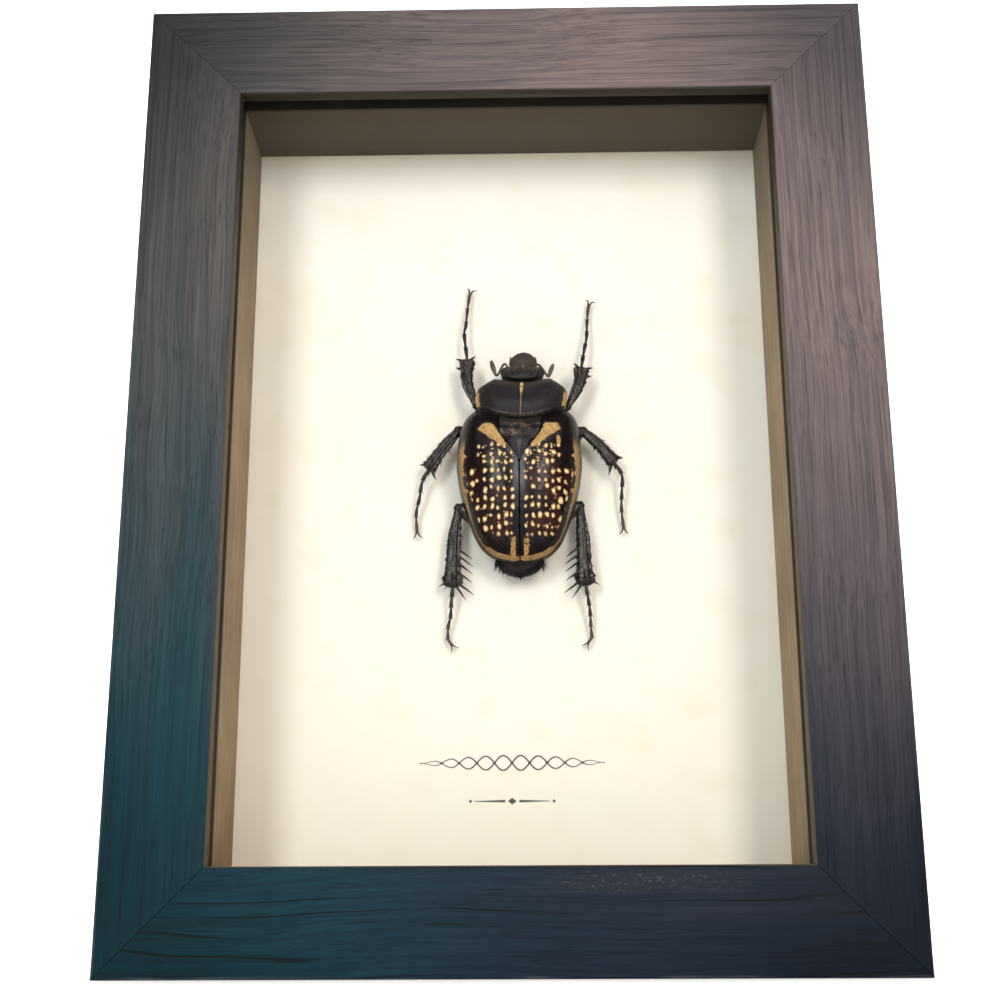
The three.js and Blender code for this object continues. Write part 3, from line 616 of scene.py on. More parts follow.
def dark_shell(settings):
    """Pitted black-brown shell of the head, the scutellum and the underside, with a painted grey-violet sheen
    on the scutellum.
    """
    finish = beetle_finish("pitted_shell", settings.shell)
    x, y, _ = finish.parts()
    clouds = finish.clouds(0.5, 3.0)
    hollow = finish.dots(2.6, 0.10, 0.34, 0.2, 0.4)
    finish.cover(clouds.rises(0.35, 0.7), (0.024, 0.017, 0.015))
    finish.cover(hollow * 0.5, (0.008, 0.006, 0.006))
    mark = (abs(x - 1.0) + abs(y - 20.9) * 0.35).falls(0.16, 0.42)
    finish.cover(mark * 0.7, (0.30, 0.20, 0.10))
    # Painted sheen: grey-violet over the scutellum's triangle.
    triangle = abs(x).falls(1.2, 2.6) * y.within(-1.4, 3.2, 0.4)
    finish.cover(triangle * 0.7, (0.055, 0.047, 0.055))
    smudge = (clouds + finish.clouds(1.9)).rises(1.02, 1.16) * y.within(3.6, 7.2, 0.4)
    finish.cover(smudge * 0.8, (0.16, 0.10, 0.055))
    finish.cover(y.rises(18.0, 22.5) * 0.75, (0.062, 0.045, 0.037))
    return finish.done(
        relief=(clouds * 0.4 - hollow, 0.55, 0.12), roughness=0.36 + clouds * 0.2, specular_ior_level=0.22)


def pronotum_shell(settings):
    """Black shell with fine pits, an ochre line down the middle, ochre edges, and a painted highlight along
    the rear margin.
    """
    finish = beetle_finish("pronotum_shell", settings.shell)
    x, y, _ = finish.parts()
    clouds = finish.clouds(0.45, 3.0)
    ragged = finish.clouds(1.6, 3.0)
    hollow = finish.dots(3.2, 0.10, 0.32, 0.15, 0.3)
    share, along = finish.attribute("share"), finish.attribute("along")
    finish.cover(clouds.rises(0.35, 0.7), (0.022, 0.017, 0.019))
    finish.cover(hollow * 0.55, (0.008, 0.006, 0.007))
    finish.cover(along.rises(0.70, 0.98) * 0.30, (0.085, 0.060, 0.045))
    thick = along.rises(0.5, 0.8)
    middle = x - finish.larger(y - LEAN_START, 0.0) * LEAN
    line = abs(middle).falls(0.05 + thick * 0.20, 0.14 + thick * 0.26)
    finish.cover(line * (0.35 + thick * 0.65) * ragged.rises(0.26, 0.46), (0.60, 0.42, 0.16))
    strip = (share + (ragged - 0.5) * 0.05).rises(0.90, 0.93) * along.within(0.04, 0.44, 0.03)
    finish.cover(strip * 0.95, settings.patch)
    front = (share + (ragged - 0.5) * 0.03).rises(0.925, 0.955) * along.rises(0.4, 0.5)
    finish.cover(front * 0.55, (0.34, 0.23, 0.11))
    # Painted highlight: a pale grey line along the middle of the rear margin.
    rear = along.falls(0.012, 0.035) * ragged.rises(0.3, 0.6)
    finish.cover(rear * 0.7 * share.falls(0.45, 0.75), (0.25, 0.21, 0.17))
    return finish.done(
        relief=(clouds * 0.35 - hollow, 0.5, 0.10), roughness=0.44 + clouds * 0.2 + strip * 0.2,
        specular_ior_level=0.22)


def wing_case_shell(settings):
    """Dark glossy ground with ochre patches and bands, and rows of cream spots in shallow pits, with a
    painted sheen along the seam and painted shade on the ochre by the margin.
    """
    finish = beetle_finish("spotted_wing_case", settings.wing_case)
    x, y, _ = finish.parts()
    edge = finish.attribute("edge")
    side = abs(x)
    clouds = finish.clouds(0.30, 3.0)
    ragged = finish.clouds(1.15, 3.0, 0.6)
    rough = ragged - 0.5
    warp = finish.add("TexNoise", {}, {"Vector": finish.where, "Scale": 0.75, "Detail": 2.0})
    warped = finish.add("VectorMath", {"operation": "MULTIPLY_ADD"}, {
        0: warp.outputs["Color"], 1: (0.85, 1.0, 0.0), 2: finish.where}).outputs[0]
    wx, wy, _ = finish.parts(warped)

    # Rows and columns of spots, each of a size of its own, some missing
    distance, pick = finish.cells(1.0, 0.42, finish.together(wx / 1.40, wy / 1.86))
    size = 0.175 + pick * 0.15 + side.rises(6.0, 8.6) * 0.06 - y.rises(-1.5, 2.5) * 0.03
    area = edge.rises(1.5, 1.8) * side.rises(0.9, 1.15) * y.within(-16.9, 2.3, 0.5)
    area = area * (1 - side.rises(8.3, 8.9) * y.rises(-3.2, -2.4))
    beyond = distance + rough * 0.14 - size
    spots = beyond.falls(-0.035, 0.03) * pick.rises(0.06, 0.10) * area

    # Small bars between the upper spots, and crumbs between the others
    bars, bar_pick = finish.cells(1.0, 0.9, finish.together(wx / 1.5, wy / 0.85))
    bars = (bars + rough * 0.3).falls(0.16, 0.22) * bar_pick.rises(0.45, 0.5) * y.within(-3.2, 2.6, 0.8)
    bars = bars * side.falls(6.8, 7.4) * edge.rises(1.9, 2.2) * side.rises(1.0, 1.3)
    flat = finish.stretched(finish.where, (1, 1, 0), (3, 7, 0))
    crumbs = finish.dots(0.85, 0.10, 0.16, 0.76, 0.80, flat) * area
    small = finish.smaller(bars + crumbs, 1.0)

    # Ochre: a slanting patch at the root, a band inside the margin, and a patch at the tip
    slant = (side - 3.0) * 0.74 - (y - 1.6) * 0.67
    run = (side - 3.0) * 0.67 + (y - 1.6) * 0.74
    root = abs(slant + rough * 1.3 + 0.1).falls(run * 0.17 + 0.42, run * 0.17 + 0.56)
    root = root * (run + rough * 1.6).within(-0.1, 6.9, 0.12) * (side + rough * 1.4).falls(8.7, 8.9)
    root = root * (y + rough * 0.8).falls(6.7, 6.9)
    fleck = abs(side - 8.2 + rough).falls(0.30, 0.44) * (y + rough).within(2.3, 4.0, 0.15) * x.rises(0.0, 1.0)
    inner = 0.52 + (y + rough * 2.0).rises(-15.0, -6.0) * 0.42 + (y + rough * 3.0).rises(-3.5, -0.5) * 0.65
    inner = inner + (y + rough * 0.8).falls(-19.4, -18.2) * 0.40 + rough * 0.5
    teeth = finish.math("SINE", y * 1.7 + 1.0).rises(0.55, 0.95) * y.within(-9.0, 0.6, 0.6)
    inner = inner + teeth * 0.55
    band = edge.rises(0.26, 0.40) * (edge - inner).falls(-0.05, 0.10) * (y + rough * 1.5).falls(1.6, 4.6)
    tip = (edge - 0.95 + rough * 0.5).falls(-0.05, 0.12) * edge.rises(0.20, 0.30)
    tip = tip * side.rises(0.55, 0.7) * y.falls(-19.0, -18.6)
    beside = side.rises(0.75, 0.95) * (y + rough * 0.7).within(-21.3, -17.3, 0.15)
    beside = beside * (side + rough * 2.2).falls(1.75, 1.95) * (ragged + (y + 19.4) * 0.04).falls(0.56, 0.62)
    ochre = finish.smaller(root + fleck + band + tip + beside, 1.0)
    tone = finish.blend(ragged.rises(0.3, 0.7), (0.33, 0.19, 0.070), settings.patch)
    # Painted shade: the ochre darker towards the outer margin.
    tone = finish.blend(edge.falls(0.4, 1.6) * 0.45, tone, (0.20, 0.125, 0.052))
    mottle = finish.clouds(2.2, 3.0, 0.6).rises(0.50, 0.62) * (0.20 + y.falls(-19.5, -16.5) * 0.45)
    tone = finish.blend(mottle, tone, (0.060, 0.030, 0.018))

    red = y.within(-17.5, -2.5, 3.0) * side.rises(0.8, 3.0) * edge.rises(1.0, 3.0) * clouds.rises(0.35, 0.65)
    finish.cover(red, settings.red_ground)
    # Painted sheen: grey-violet along the seam.
    painted_violet_sheen = side.falls(0.5, 2.2) * y.within(-8.5, -1.5, 2.0)
    finish.cover(painted_violet_sheen * 0.8, (0.052, 0.043, 0.050))
    finish.cover(ochre, tone)
    finish.cover(small * (1 - ochre), (0.46, 0.31, 0.14))
    pale = finish.blend(beyond.falls(-0.22, -0.05), (0.50, 0.30, 0.12), settings.spot)
    finish.cover(spots * (1 - root), pale)
    light = finish.smaller(ochre + spots + small * 0.6, 1.0)
    specks, _ = finish.cells(5.5)
    return finish.done(
        relief=(specks.rises(0.1, 0.4) * 0.25 - light * 0.8 + clouds * 0.3, 0.45, 0.10),
        roughness=0.22 + clouds * 0.12 + light * 0.38, specular_ior_level=0.16,
        coat_weight=0.06 - light * 0.06, coat_roughness=0.12)


def limb_shell(name, brown, settings):
    """Rough brown-black shell, browner on the feet or by the share called brown."""
    finish = beetle_finish(name, settings.limb)
    clouds = finish.clouds(0.8, 4.0, 0.6)
    hollow = finish.dots(3.4, 0.08, 0.30, 0.3, 0.5)
    _, _, height = finish.parts()
    finish.cover(clouds.rises(0.38, 0.66), (0.034, 0.020, 0.012))
    finish.cover(hollow * 0.6, (0.006, 0.004, 0.004))
    finish.cover(height.falls(1.0, 3.8) * 0.6 + brown, (0.105, 0.064, 0.036))
    return finish.done(
        relief=(clouds * 0.8 - hollow, 0.7, 0.16), roughness=0.18 + clouds * 0.22, specular_ior_level=0.36)


def rounded_ends(latitude, cap, reach):
    """Share along a body and size of its ring, for a ball's ring, so that both ends round off."""
    if latitude < cap:
        turn = latitude / cap * math.pi / 2
        return reach * (1 - math.cos(turn)), math.sin(turn)
    if latitude > 1 - cap:
        turn = (1 - latitude) / cap * math.pi / 2
        return 1 - reach * (1 - math.cos(turn)), math.sin(turn)
    return reach + (1 - 2 * reach) * (latitude - cap) / (1 - 2 * cap), 1.0


def moulded(bm, place, around, along, cap=0.08, reach=0.02):
    """A ball of rings, moved to where place(share along, angle, size of the ring) puts each point."""
    ball = bmesh.ops.create_uvsphere(bm, u_segments=around, v_segments=along, radius=1)["verts"]
    for vertex in ball:
        latitude = math.asin(clamp(vertex.co.z, -1, 1)) / math.pi + 0.5
        share, size = rounded_ends(latitude, cap, reach)
        vertex.co = place(share, math.atan2(vertex.co.y, vertex.co.x), size)
    return ball


def sideways(way):
    """The direction across a way, level with the card."""
    return way.cross(Vector((0, 0, 1))).normalized()


def leaned(x, y, z):
    return Vector((x + LEAN * max(y - LEAN_START, 0), y, z))


def pronotum_rear(x):
    return 8.6 + 3.0 * min((x / 9.3) ** 2, 1)


def pronotum_front(x):
    return 16.7 + 1.8 * min((x / 6.0) ** 2, 1)


def bowed(y, x, z):
    share = clamp((y - BOW_START) / (BODY_FRONT - BOW_START))
    return leaned(x, y + share * (pronotum_rear(x) - 8.6), z)


def domed(share, crown, margin, squareness=2.8):
    return margin + (crown - margin) * math.sqrt(max(1 - abs(share) ** squareness, 0))


def away_from(spot, line):
    """The distance from a spot to the nearest stretch of a line of points."""
    nearest = math.inf
    for a, b in zip(line, line[1:]):
        share = clamp((spot - a).dot(b - a) / (b - a).length_squared)
        nearest = min(nearest, (a + (b - a) * share - spot).length)
    return nearest


def section(form, s, angle, size):
    """Place across a body and height above the card, at an angle round its section."""
    across = math.cos(angle)
    upper = math.sin(angle) >= 0
    side = form["side"](s)
    top = form["crown"](s) if upper else form["bottom"](s)
    height = domed(across, top, side, 2.8 if upper else 2.2)
    return across * form["half"](s) * size, side + (height - side) * size


def path_through(points):
    """A smooth path through points. The share runs evenly along its length."""
    points = [Vector(p) for p in points]
    ends = [2 * points[0] - points[1], *points, 2 * points[-1] - points[-2]]
    steps = 24
    line = []
    for a, b, c, d in zip(ends, ends[1:], ends[2:], ends[3:]):
        for i in range(steps):
            t = i / steps
            line.append(0.5 * (
                2 * b + (c - a) * t + (2 * a - 5 * b + 4 * c - d) * t ** 2
                + (3 * b - a - 3 * c + d) * t ** 3))
    line.append(points[-1])
    lengths = [0.0]
    for a, b in zip(line, line[1:]):
        lengths.append(lengths[-1] + (b - a).length)

    def at(share):
        goal = share * lengths[-1]
        i = 0
        while i < len(line) - 2 and lengths[i + 1] < goal:
            i += 1
        span = max(lengths[i + 1] - lengths[i], 1e-9)
        return line[i] + (line[i + 1] - line[i]) * ((goal - lengths[i]) / span)

    return at


def limb(bm, path, radius, flat=1.0, around=16, along=20, cap=0.12, surface=None):
    """A rounded limb along a path. surface(share, angle) scales its radius."""
    def place(share, angle, size):
        ahead = (path(min(share + 0.02, 1)) - path(max(share - 0.02, 0))).normalized()
        across = sideways(ahead)
        over = across.cross(ahead)
        wide = radius(share) * size * (surface(share, angle) if surface else 1)
        return path(share) + across * math.cos(angle) * wide + over * math.sin(angle) * wide * flat

    moulded(bm, place, around, along, cap, 0.03)


def spine(bm, root, tip, width, droop=0.0, around=6):
    """A thin pointed bristle or tooth, bent a little at its middle."""
    middle = (root + tip) / 2 + Vector((0, 0, droop))
    limb(bm, path_through((root, middle, tip)), through([(0, width), (0.5, width * 0.72), (1, width * 0.1)]),
         1.0, around, 8, 0.1)


def leg_shape(name, spec):
    """Thigh, ridged shin with its teeth and bristles, five-jointed foot and two hooked claws."""
    rng = random.Random(name)
    bm = bmesh.new()
    pair = name.split("_")[0]
    front, hind = pair == "front", pair == "hind"
    hip, knee, bend, heel = (Vector(spec[key]) for key in ("hip", "knee", "bend", "heel"))
    thick, thin = spec["thigh"]
    limb(bm, path_through((hip, hip.lerp(knee, 0.5), hip.lerp(knee, 1.02))),
         through([(0, thick * 0.8), (0.4, thick), (0.8, thin), (1, thin * 0.55)]), 0.75, 24, 28, 0.14)
    slim, broad = spec["shin"]
    shin = path_through((knee, bend, heel))
    notches = 9 if hind else 6
    width = through([
        (0, slim * 0.85), (0.12, slim), (0.4, (slim + broad) / 2 * 0.94), (0.62, broad * 0.80),
        (0.80, broad * 0.90), (0.92, broad * (1.18 if hind else 1.08)), (1, broad * 0.55)])

    def ridged(share, angle):
        grain = Vector((share * 22, math.cos(angle) * 2, math.sin(angle) * 2))
        ridge = 0.12 * math.cos(7 * angle) + (0.18 if hind else 0.11) * noise.noise(grain)
        notch = 0.20 * ((share * notches) % 1.0 - 0.4) * abs(math.cos(angle)) ** 3 * ease(share, 0.25, 0.5)
        return 1 + ridge * ease(share, 0.05, 0.3) + notch

    limb(bm, shin, width, spec["flat"], 42, 90, 0.05, ridged)
    limb(bm, path_through((knee + (hip - knee) * 0.03, knee, knee.lerp(bend, 0.10))),
         through([(0, slim * 0.9), (0.5, slim * 1.1), (1, slim * 0.9)]), 0.85, 16, 14)

    line = (heel - knee).normalized()
    out = sideways(line)
    if out.x * heel.x < 0:
        out.negate()
    for share, side, reach in spec["teeth"]:
        way = (out * side * 0.85 + line * 0.55).normalized()
        start = shin(clamp(share - 0.06)) + out * side * broad * 0.35
        spine(bm, start, start + way * reach * (1.45 if hind else 1.1), 0.30 if hind else 0.40, 0.25, 8)
    for _ in range(14 if front else 46):
        share = rng.uniform(0.30, 0.98)
        side = -1 if rng.random() < 0.72 else 1
        angle = rng.uniform(-0.7, 0.9)
        start = shin(share) + out * side * width(share) * 0.8 * math.cos(angle)
        start.z += 0.5 * math.sin(angle)
        way = out * side * rng.uniform(0.5, 0.9) + line * rng.uniform(0.5, 1.0)
        way.z += 0.3 * angle
        reach = rng.uniform(0.7, 1.1) if front else rng.uniform(0.9, 1.7)
        spine(bm, start, start + way.normalized() * reach, 0.065, 0.05, 5)

    foot = path_through((shin(0.97), *spec["foot"]))
    waist = through([(0, 0.27), (0.3, 0.32), (0.80, 0.47), (1, 0.38)])
    for joint in range(FOOT_JOINTS):
        first, last = joint / FOOT_JOINTS, min((joint + 1) / FOOT_JOINTS + 0.012, 1.0)
        thickness = 1 - 0.05 * joint
        limb(bm, lambda t, a=first, b=last: foot(a + (b - a) * t), lambda t, k=thickness: waist(t) * k,
             0.9, 12, 12, 0.12)
        end = foot(last)
        ahead = (end - foot(last - 0.05)).normalized()
        beside = sideways(ahead)
        for side in (-1, 1):
            root = end - ahead * 0.35 + beside * side * 0.3 * thickness
            tip = root + (ahead + beside * side * 0.8).normalized() * 0.75 + Vector((0, 0, -0.15))
            spine(bm, root, tip, 0.075)
    way_x, way_y, claw_length = spec["claws"]
    way = Vector((way_x, way_y, 0)).normalized()
    end = foot(1.0)
    for turn in (-1, 1):
        spread = turn * CLAW_SPREAD[pair]
        start_way = Matrix.Rotation(spread * 0.6, 3, "Z") @ way
        hook = Matrix.Rotation(spread + 0.5 * turn, 3, "Z") @ way
        middle = end + start_way * claw_length * 0.6 + Vector((0, 0, 0.25))
        tip = middle + hook * claw_length * 0.42 + Vector((0, 0, -0.9))
        tip.z = max(tip.z, 0.5)
        limb(bm, path_through((end - way * 0.3, middle, tip)),
             through([(0, 0.26), (0.4, 0.21), (1, 0.035)]), 1.0, 8, 14, 0.08)
    return bm


def thin_shell(bm, place):
    """A grid moved to where place(u, v, vertex) puts each point, each share from -1 to 1, and thickened."""
    for vertex in bm.verts:
        vertex.co = place(vertex.co.x, vertex.co.y, vertex)
    bmesh.ops.recalc_face_normals(bm, faces=bm.faces)
    if sum(face.normal.z for face in bm.faces) < 0:
        bmesh.ops.reverse_faces(bm, faces=bm.faces)
    bmesh.ops.solidify(bm, geom=bm.faces[:], thickness=SHELL * 0.8)
    return bm


def head_shape():
    """Skull with a low keel, a broad front plate with a raised rim, and two eyes."""
    bm = bmesh.new()

    def place(s, angle, size):
        x, z = section(HEAD, s, angle, size)
        across, upper = math.cos(angle) * size, math.sin(angle) > 0
        if upper:
            plate = ease(s, 0.50, 0.72)
            z += 0.22 * plate * ease(abs(across), 0.70, 0.88) - 0.20 * plate * hump(abs(across), 0.55, 0.3)
            z += 0.20 * ease(s, 0.90, 0.97) * (1 - ease(abs(across), 0.5, 0.9))
            z += 0.50 * hump(x, 0, 0.40) * ease(s, 0.05, 0.2) * (1 - ease(s, 0.55, 0.75))
            z -= 0.55 * hump(abs(x), 1.9 + 1.2 * (0.4 - s), 0.45) * hump(s, 0.38, 0.22)
            z += 0.30 * hump(abs(x), 3.3, 0.9) * hump(s, 0.26, 0.16)
            z += 0.05 * noise.noise(Vector((x * 1.7, s * 14, 3)))
        rear = pronotum_front(x) + NECK_GAP
        return leaned(x, rear + (HEAD_FRONT - rear) * s - 0.08 * x * x * ease(s, 0.6, 1.0), z)

    moulded(bm, place, 72, 72, 0.06, 0.03)
    for side in (-1, 1):
        middle = leaned(side * EYE_X, EYE_Y, EYE_Z)
        eye = bmesh.ops.create_uvsphere(bm, u_segments=28, v_segments=20, radius=EYE_RADIUS)["verts"]
        bmesh.ops.translate(bm, vec=middle, verts=eye)
        # Feelers beside the mouth
        root = leaned(side * 1.6, 22.6, 5.4)
        bend, tip = root + Vector((side * 0.9, 1.2, -0.5)), root + Vector((side * 1.1, 2.4, -1.0))
        limb(bm, path_through((root, bend, tip)), through([(0, 0.22), (0.6, 0.3), (1, 0.15)]), 1.0, 10, 14)
    return bm


def pronotum_shape():
    """Domed plate with a beaded margin, a faint keel down the middle and shallow hollows at the sides."""
    bm = bmesh.new()
    share_layer = bm.verts.layers.float.new("share")
    along_layer = bm.verts.layers.float.new("along")
    places = []

    def place(s, angle, size):
        x, z = section(PRONOTUM, s, angle, size)
        across = abs(math.cos(angle)) * size
        if math.sin(angle) > 0:
            z += 0.14 * hump(across, 0.965, 0.03) - 0.10 * hump(across, 0.90, 0.04)
            z += 0.16 * hump(s, 0.02, 0.035) - 0.10 * hump(s, 0.09, 0.04) + 0.10 * hump(s, 0.985, 0.02)
            z += 0.10 * hump(x, 0, 0.5) * ease(s, 0.1, 0.3)
            z -= 0.22 * hump(abs(x), 5.6, 1.4) * hump(s, 0.55, 0.2)
            z += 0.05 * noise.noise(Vector((x * 0.9, s * 7, 1)))
        places.append((across, s))
        rear, front = pronotum_rear(x), pronotum_front(x)
        return leaned(x, rear + (front - rear) * s, z)

    ball = moulded(bm, place, 112, 84, 0.05, 0.015)
    for vertex, (across, s) in zip(ball, places):
        vertex[share_layer], vertex[along_layer] = across, s
    return bm


def belly_shape(bristle):
    """Underside of the body with its rings, and the hairy tail plate behind the wing cases."""
    bm = bmesh.new()
    rear, front = -23.8, BODY_FRONT - 0.2

    def place(s, angle, size):
        y = rear + (front - rear) * s
        x, z = section(BELLY, y, angle, size)
        rings = 0.16 * hump((y + 30) % 3.4, 1.7, 0.35) * ease(-y, 2, 4) * (1 - ease(-y, 20, 21))
        grow = 1 - rings / 6
        z += 0.07 * noise.noise(Vector((x * 1.1, y * 1.1, 2)))
        return bowed(y, x * grow, z)

    moulded(bm, place, 80, 120, 0.05, 0.012)
    rng = random.Random(5)
    for _ in range(260):
        across = clamp(rng.gauss(0, 0.75), -1, 1)
        y = -23.5 + 2.6 * across ** 2 + rng.uniform(-0.1, 0.8)
        half = BELLY["half"](y)
        x = across * half * rng.uniform(0.85, 1.0)
        z = domed(x / half, BELLY["crown"](y), BELLY["side"](y)) - 0.15
        reach = bristle * rng.uniform(0.5, 1.0) * (1 + 0.9 * ease(abs(across), 0.45, 0.8))
        way = Vector((across * 0.35 + rng.uniform(-0.2, 0.2), -1, rng.uniform(-0.25, 0.25))).normalized()
        root = Vector((x, y, z))
        spine(bm, root, root + way * reach, 0.08, 0.05, 5)
    return bm


def wing_case_shape(side):
    """One wing case: a thin domed shell with a shoulder, a raised seam and a turned margin."""
    bm = bmesh.new()
    edge_layer = bm.verts.layers.float.new("edge")
    margin = [Vector((0.16, WING_CASE_END))]
    for i in range(45):
        y = WING_CASE_END + 29.5 * (i / 44) ** 1.6
        margin.append(Vector((WING_CASE_HALF(y), y)))
    bmesh.ops.create_grid(bm, x_segments=64, y_segments=150, size=1)

    def place(across, along, vertex):
        u, v = (across + 1) / 2, (along + 1) / 2
        y = WING_CASE_END + (BODY_FRONT - WING_CASE_END) * v ** 1.45
        half, start = WING_CASE_HALF(y), WING_CASE_SEAM(y)
        x = start + (half - start) * math.sin(u * math.pi / 2)
        z = domed(x / half, WING_CASE_CROWN(y), WING_CASE_MARGIN(y))
        z += 0.34 * hump(x, 9.7, 1.7) * hump(y, 4.6, 2.0)
        z += 0.22 * hump(x, 6.0, 1.5) * hump(y, -17.3, 1.4)
        z += 0.10 * hump(x, start, 0.5) - 0.10 * hump(x, start + 1.1, 0.5)
        z -= 0.55 * ease(y, 6.5, 7.9)
        z += 0.05 * noise.noise(Vector((x * 0.8 * side, y * 0.8, 4)))
        vertex[edge_layer] = away_from(Vector((x, y)), margin)
        return bowed(y, side * (x + 0.12 * ease(u, 0.90, 1.0)), z)

    return thin_shell(bm, place)


def scutellum_shape():
    """The plate and the grooved triangle between the roots of the wing cases."""
    bm = bmesh.new()
    bmesh.ops.create_grid(bm, x_segments=48, y_segments=80, size=1)

    def place(u, along, _):
        y = -1.6 + 9.6 * (along + 1) / 2
        x = SCUTELLUM_HALF(y) * u
        z = domed(x / WING_CASE_HALF(y), WING_CASE_CROWN(y), WING_CASE_MARGIN(y))
        plate = ease(y, 3.2, 3.9)
        z -= 0.55 * (1 - plate) * hump(abs(u), 0.62, 0.22) * ease(y, -1.0, 0.8)
        z += 0.12 * (1 - plate) * hump(u, 0, 0.25)
        z -= 0.35 * plate + 0.35 * hump(y, 3.55, 0.22)
        wrinkle = 0.22 * hump(y, 5.2, 0.35) - 0.15 * hump(y, 6.1, 0.4)
        z += plate * (wrinkle + 0.10 * math.sin(x * 3.1) * hump(y, 5.2, 0.8))
        z += 0.06 * noise.noise(Vector((x * 2, y * 2, 6)))
        return bowed(y, x, z)

    return thin_shell(bm, place)


def antenna_shape(spec):
    """A bent stalk of small beads and a club of three leaves."""
    bm = bmesh.new()
    path = path_through(spec["stalk"])
    for bead in range(STALK_BEADS):
        first, last = bead / STALK_BEADS, (bead + 1) / STALK_BEADS
        thick = 0.34 if bead == 0 else 0.25
        limb(bm, lambda t, a=first, b=last: path(a + (b - a) * t),
             lambda t, k=thick: k * (0.75 + 0.35 * math.sin(t * math.pi)), 1.0, 12, 10)
    root, tip = (Vector(p) for p in spec["club"])
    for leaf in (-1, 0, 1):
        lift = Vector((0.09 * leaf, 0, 0.17 * leaf))
        limb(bm, path_through((root, (root + tip) / 2 + lift, tip + lift * 1.3)),
             through([(0, 0.22), (0.3, 0.36), (0.6, 0.42), (0.85, 0.30), (1, 0.12)]), 0.36, 20, 22)
    return bm


def rounded(bm, edges, width, segments):
    bmesh.ops.bevel(
        bm, geom=edges, offset=width, offset_type="OFFSET", segments=segments, profile=0.5, affect="EDGES",
        material=-1, clamp_overlap=True)


def sharp_edges(bm, degrees):
    return [e for e in bm.edges if len(e.link_faces) == 2 and e.calc_face_angle() > math.radians(degrees)]


def runs_along(edge):
    """Whether an edge runs along a moulding that still lies in x."""
    return abs((edge.verts[0].co - edge.verts[1].co).normalized().x) > 0.99


def moved_ends(grown):
    """The new corners among what an extrusion made."""
    return [item for item in grown["geom"] if isinstance(item, bmesh.types.BMVert)]


def moulding_shape(name, settings):
    """One mitred length of moulding with rounded edges."""
    bm = bmesh.new()
    upright = name.startswith("stile")
    outer, other = (FRAME_HEIGHT, FRAME_WIDTH) if upright else (FRAME_WIDTH, FRAME_HEIGHT)
    depth = FRAME_BACK - FRAME_FRONT
    wall = FACE_WIDTH - REBATE_WIDTH
    outline = (
        (0, 0), (0, depth), (wall, depth), (wall, LIP_THICKNESS), (FACE_WIDTH, LIP_THICKNESS),
        (FACE_WIDTH, 0))
    bm.faces.new([bm.verts.new((-1, back, across)) for across, back in outline])
    far = moved_ends(bmesh.ops.extrude_face_region(bm, geom=bm.faces[:]))
    bmesh.ops.translate(bm, vec=(2, 0, 0), verts=far)
    for vertex in bm.verts:
        vertex.co.x *= outer / 2 - vertex.co.z - MITRE_GAP
    bmesh.ops.recalc_face_normals(bm, faces=bm.faces)
    rounded(bm, [e for e in bm.edges if runs_along(e)], settings.long_edge / MM, 4)
    rounded(bm, [e for e in sharp_edges(bm, 35) if not runs_along(e)], settings.mitre_edge / MM, 1)
    turns = {"rail_bottom": 0.0, "rail_top": math.pi, "stile_left": math.pi / 2, "stile_right": -math.pi / 2}
    middle = Matrix.Translation((0, FRAME_FRONT, FRAME_HEIGHT / 2))
    turn = Matrix.Rotation(turns[name], 4, "Y")
    bmesh.ops.translate(bm, vec=(0, 0, -other / 2), verts=bm.verts)
    bmesh.ops.transform(bm, matrix=Matrix.Scale(MM, 4) @ middle @ turn, verts=bm.verts)
    return bm


def sheet_metal_shape(name):
    """A copy of a steel solid with its edges rounded."""
    bm = bmesh.new()
    bm.from_mesh(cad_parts[name].data)
    bmesh.ops.remove_doubles(bm, verts=bm.verts, dist=1e-6)
    bmesh.ops.dissolve_limit(bm, angle_limit=math.radians(1), verts=bm.verts, edges=bm.edges)
    rounded(bm, sharp_edges(bm, 50), SHEET_EDGE * MM, 2)
    return bm


def nail_shape(name):
    """A nail with a domed head, spun about its own line."""
    low, high = (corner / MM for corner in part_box(name))
    middle = (low + high) / 2
    radius, back = (high.x - low.x) / 2, high.y
    outline = (
        (0, back), (radius * 0.55, back - 0.08), (radius * 0.9, back - 0.3), (radius, back - 0.6),
        (radius * 0.94, back - 0.8), (0.6, back - 0.8), (0.6, low.y + 1.2), (0.0, low.y))
    bm = bmesh.new()
    line = [bm.verts.new((middle.x + across, depth, middle.z)) for across, depth in outline]
    edges = [bm.edges.new(pair) for pair in zip(line, line[1:])]
    bmesh.ops.spin(
        bm, geom=line + edges, cent=(middle.x, 0, middle.z), axis=(0, 1, 0), angle=2 * math.pi, steps=24,
        use_merge=True)
    bmesh.ops.remove_doubles(bm, verts=bm.verts, dist=1e-4)
    bmesh.ops.scale(bm, vec=(MM,) * 3, verts=bm.verts)
    return bm


def sweep_shape():
    """A floor that curves up into a backdrop."""
    bm = bmesh.new()
    outline = ((-2.5, 0.0), (0.55, 0.0), (0.72, 0.03), (0.82, 0.13), (0.85, 0.30), (0.85, 3.0))
    line = [bm.verts.new((-2.5, y, z)) for y, z in outline]
    edges = [bm.edges.new(pair) for pair in zip(line, line[1:])]
    far = moved_ends(bmesh.ops.extrude_edge_only(bm, edges=edges))
    bmesh.ops.translate(bm, vec=(5, 0, 0), verts=far)
    bmesh.ops.recalc_face_normals(bm, faces=bm.faces)
    return bm


def soft_box(name, where, aim, size, power, tint):
    """A rectangular soft light, turned to its aim."""
    light = bpy.data.lights.new(name, "AREA")
    light.shape, light.size, light.size_y = "RECTANGLE", *size
    light.energy, light.color = power, tint
    light.spread = math.radians(90)
    lamp = bpy.data.objects.new(name, light)
    lamp.location = where
    lamp.rotation_euler = (Vector(aim) - Vector(where)).to_track_quat("-Z", "Y").to_euler()
    bpy.context.scene.collection.objects.link(lamp)


